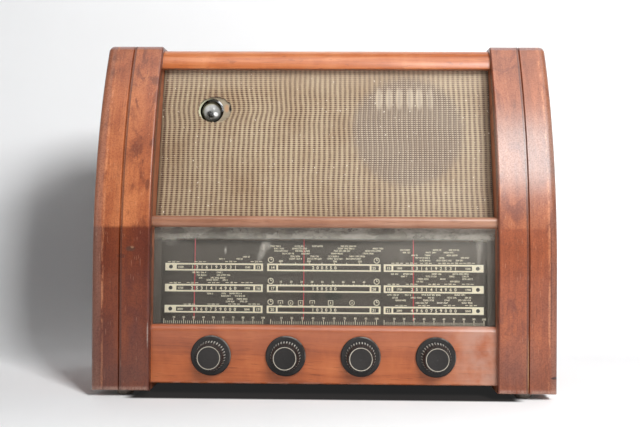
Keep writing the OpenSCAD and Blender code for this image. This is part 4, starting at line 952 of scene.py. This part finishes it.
def dial_print():
    """The printed marks, cream and dark, as one piece each."""
    cream, dark = Print("dial_print_cream"), Print("dial_print_dark", lift=0.0, thick=0.04)
    dial_bars(cream, dark)
    tiny_figures(cream)
    ring_marks(cream)
    middle_scales(cream)
    badges(cream)
    logging_scales(cream)
    # the cream print has a painted glow, to stay bright behind the dusty glass
    cream.make(plain("print_cream", (236, 228, 204), (246, 240, 220), 0.6, size=120, bump=0.02, dirt=0.1,
                     painted_glow=0.18))
    dark.make(plain("print_dark", (52, 50, 47), (70, 67, 62), 0.6, size=120, bump=0.02))

# The floor and the light: places and sizes in metres
FLOOR_HALF, FLOOR_FRONT = 4, -3.0
CURVE_FROM, CURVE_R = 0.25, 0.3   # where the floor turns up into the backdrop
BACKDROP_TOP = 3.0

def floor_paper():
    """Pale paper with a painted shadow under the cabinet, bright far away, and seen through from its back."""
    g = Tree("paper")
    x, y, _ = g.xyz(g.pos)
    away = g.math("ABSOLUTE", x)
    white = g.mix(g.noise(g.pos, 3), (238, 239, 240), (244, 245, 246))
    # hardly any light gets under the cabinet
    under = g.times(g.step(away, 0.262, 0.245), g.step(y, y_of(-2), y_of(8)),
                    g.step(y, y_of(300), y_of(270)))
    paper = g.node("BsdfDiffuse", {"Color": g.mix(under, white, (34, 31, 30))})
    bright = g.node("Emission", {"Color": WHITE, "Strength": 1.0})
    far = g.math("MAXIMUM", g.step(y, -0.9, -2.0), g.step(away, 1.5, 2.6))
    lit = g.times(g.math("MULTIPLY_ADD", far, 0.9, 0.02), g.node("LightPath").outputs["Is Camera Ray"])
    back = g.node("NewGeometry").outputs["Backfacing"]
    return g.done(g.either(back, g.either(lit, paper, bright), g.node("BsdfTransparent")))

def make_stage():
    """A pale floor that curves up into the backdrop behind the radio."""
    profile = [(FLOOR_FRONT, 0.0), (CURVE_FROM, 0.0)]
    profile += [(CURVE_FROM + CURVE_R * math.sin(a), CURVE_R - CURVE_R * math.cos(a))
                for a in (0.2, 0.5, 0.8, 1.1, 1.4, math.pi / 2)]
    profile += [(CURVE_FROM + CURVE_R, BACKDROP_TOP)]
    bm = bmesh.new()
    left = [bm.verts.new((-FLOOR_HALF, y, z)) for y, z in profile]
    right = [bm.verts.new((FLOOR_HALF, y, z)) for y, z in profile]
    for i in range(len(profile) - 1):
        bm.faces.new([left[i], right[i], right[i + 1], left[i + 1]])
    mesh = bpy.data.meshes.new("floor")
    bm.to_mesh(mesh)
    bm.free()
    mesh.polygons.foreach_set("use_smooth", [True] * len(mesh.polygons))
    mesh.materials.append(floor_paper())
    obj = put("floor", mesh)
    return obj

def softbox(name, at, size, power, stage, target=(0, 0, 0.25), state="EXCLUDE"):
    """A soft light, which misses the stage, or with the state INCLUDE lights nothing else."""
    light = bpy.data.lights.new(name, "AREA")
    light.shape, light.size, light.size_y = "RECTANGLE", size[0], size[1]
    light.energy = power
    obj = put(name, light)
    obj.location = at
    obj.rotation_euler = (Vector(target) - Vector(at)).to_track_quat("-Z", "Y").to_euler()
    reach = bpy.data.collections.new(name + "_reach")
    reach.objects.link(stage)
    reach.collection_objects[0].light_linking.link_state = state
    obj.light_linking.receiver_collection = reach

def make_world():
    """A dim world that the camera sees as pale paper."""
    world = bpy.data.worlds.new("studio")
    world.use_nodes = True
    made, links = world.node_tree.nodes, world.node_tree.links
    dim = made["Background"]
    dim.inputs["Color"].default_value = WHITE
    dim.inputs["Strength"].default_value = 0.05
    pale = made.new("ShaderNodeBackground")
    pale.inputs["Color"].default_value = tint(238, 239, 240)
    which = made.new("ShaderNodeMixShader")
    links.new(made.new("ShaderNodeLightPath").outputs["Is Camera Ray"], which.inputs[0])
    links.new(dim.outputs[0], which.inputs[1])
    links.new(pale.outputs[0], which.inputs[2])
    links.new(which.outputs[0], made["World Output"].inputs["Surface"])
    bpy.context.scene.world = world

def make_light(stage):
    """Soft light from the front and right for the radio, and a light of its own for the stage."""
    softbox("key", (0.68, -1.78, 1.38), (0.85, 0.7), 33, stage)
    softbox("stage_key", (0.75, -1.75, 0.95), (0.45, 0.45), 66, stage, (0, 0.4, 0.2), "INCLUDE")
    softbox("top", (0.35, -1.1, 2.2), (2.2, 1.6), 36, stage)
    softbox("fill", (-1.6, -1.5, 0.9), (1.0, 1.0), 6.5, stage)
    make_world()
    bpy.context.scene.view_settings.view_transform = "Standard"

def cabinet_finishes():
    """Veneers and boards."""
    side = wood("side_veneer", (104, 52, 32), (148, 80, 50), (176, 104, 68), bent=False)
    inner = wood("inner_wood", (104, 56, 38), (160, 96, 66), (190, 124, 92), coat=0.1, rough=0.5)
    top = wood("top_veneer", (118, 56, 26), (174, 96, 50), (202, 130, 84), X, coat=0.5, paint=rail_paint)
    return {
        "left_wing_face": wood("wing_veneer_left", (112, 54, 32), (162, 90, 54), (190, 116, 72),
                               streak=0.25, coat=0.55, paint=wing_paint(-1)),
        "right_wing_face": wood("wing_veneer_right", (122, 64, 40), (164, 94, 60), (190, 118, 78),
                                streak=0.25, coat=0.55, paint=wing_paint(1)),
        "left_outer_side": side, "right_outer_side": side,
        "left_inner_side": inner, "right_inner_side": inner,
        "top_panel": top, "top_rail": top,
        "middle_rail": wood("rail_veneer", (104, 62, 44), (150, 104, 80), (174, 130, 106), X),
        "front_panel": wood("front_veneer", (122, 58, 30), (168, 88, 46), (190, 110, 64), X, streak=0.4,
                            paint=panel_paint),
        # near black: painted shade for the base boards under the cabinet
        "base_boards": wood("base_painted_shade", (20, 14, 11), (40, 28, 22), (58, 42, 34), X, coat=0.1, rough=0.6),
        "baffle_board": wood("baffle_ply", (104, 93, 76), (138, 126, 106), (164, 152, 132), X, coat=0,
                             rough=0.8, paint=baffle_paint),
    }

def fitting_finishes():
    """Feet, back, screws, brackets and controls."""
    steel = plain("plated_steel", (150, 148, 140), (188, 186, 176), 0.38, metal=1, size=80)
    brown = plain("laminate", (92, 60, 36), (128, 88, 54), 0.45, size=90)
    return {
        "feet": plain("foot_rubber", (118, 110, 102), (160, 150, 140), 0.8, size=90, bump=0.2),
        "mains_grommet": plain("grommet_rubber", (30, 29, 28), (52, 50, 48), 0.7, size=90, bump=0.1),
        "back_cover": plain("back_board", (104, 78, 54), (140, 108, 78), 0.8, size=50, bump=0.25),
        "screws": steel, "dial_brackets": steel, "carriage_rail": steel, "eye_bracket": steel,
        "controls": steel, "socket_strip": brown, "band_switch": brown,
    }

def dial_finishes():
    """The dial, its pointers and their drive."""
    return {
        "dial_glass": dial_glass(),
        "dial_mask": plain("mask_card", (98, 93, 87), (118, 112, 105), 0.9, bump=0.1, paint=mask_paint),
        "dial_backplate": plain("plate_paint", (82, 77, 73), (106, 99, 94), 0.7, size=14, bump=0.06,
                                paint=plate_paint),
        "dial_lamps": plain("lamp_glass", (210, 204, 186), (236, 232, 220), 0.15, size=80, bump=0.02,
                            coat=0.6),
        "pointer_carriage": plain("carriage_tin", (140, 138, 130), (178, 176, 168), 0.4, metal=0.8, size=70),
        "pointers": plain("pointer_red", (214, 66, 78), (236, 104, 116), 0.45, size=90, bump=0.03),
        "drive_drum": plain("drum_plastic", (60, 42, 30), (92, 66, 46), 0.4, size=70),
        "left_pulley": plain("pulley_plastic", (206, 196, 170), (226, 218, 196), 0.45, size=70),
        "drive_cords": plain("cord_twine", (120, 108, 84), (172, 156, 124), 0.9, size=200, bump=0.4),
    }

def works_finishes():
    """The chassis and what stands on it, the loudspeaker and the tuning eye."""
    plate = plain("chassis_steel", (120, 122, 118), (164, 166, 160), 0.45, metal=0.9, size=30, bump=0.1)
    return {
        "chassis": plate, "gang_frame": plate,
        "gang_stators": plain("vane_alloy", (168, 170, 168), (204, 205, 202), 0.35, metal=1, size=120),
        "screening_cans": plain("can_alloy", (176, 178, 176), (212, 213, 210), 0.3, metal=1, size=50),
        "transformer_cores": plain("core_iron", (70, 66, 62), (104, 98, 92), 0.55, metal=0.7, size=120,
                                   bump=0.2, stretch=(1, 6, 1)),
        "transformer_coils": plain("coil_paper", (168, 132, 78), (198, 164, 108), 0.75, size=90, bump=0.2),
        "valve_bases": plain("valve_bakelite", (34, 26, 22), (58, 46, 40), 0.3, size=80, bump=0.03, coat=0.3),
        "valve_bulbs": valve_glass(),
        "speaker_magnet": plain("magnet_iron", (84, 82, 78), (112, 110, 104), 0.45, metal=0.8),
        "speaker_basket": plain("basket_steel", (96, 98, 98), (132, 134, 132), 0.4, metal=0.85, size=50),
        "speaker_cone": plain("cone_paper", (44, 40, 36), (70, 64, 58), 0.9, size=150, bump=0.3),
        "eye_target": plain("eye_tin", (168, 168, 166), (206, 206, 204), 0.4, metal=0.2, size=120,
                            paint=eye_paint),
        "eye_bulb": eye_glass(),
    }

def knob_finishes():
    """The tone knob, its ring and its spindle, whose finishes the other three share."""
    return {
        "tone_knob": plain("knob_bakelite", (34, 32, 31), (50, 47, 46), 0.45, bump=0.05, dirt=0.2,
                           specular=0.3, paint=knob_paint),
        "tone_ring": plain("ring_paint", (164, 156, 142), (196, 188, 172), size=90, bump=0.04,
                           paint=ring_paint),
        "tone_spindle": plain("spindle_steel", (150, 148, 142), (190, 188, 180), 0.35, metal=1, size=90),
    }

def dress():
    """Every CAD node gets its material."""
    finishes = {**cabinet_finishes(), **fitting_finishes(), **dial_finishes(), **works_finishes(),
                **knob_finishes()}
    same = {"right_pulley": "left_pulley", "gang_rotor": "gang_stators", "eye_base": "valve_bases"}
    for kind in ("knob", "ring", "spindle"):
        for which in ("volume", "tuning", "band"):
            same[f"{which}_{kind}"] = f"tone_{kind}"
    for name, obj in nodes.items():
        material = finishes.get(same.get(name, name))
        if material:
            obj.data.materials.clear()
            obj.data.materials.append(material)

make_camera()
make_light(make_stage())
dress()
grille()
eye_collar()
dial_print()
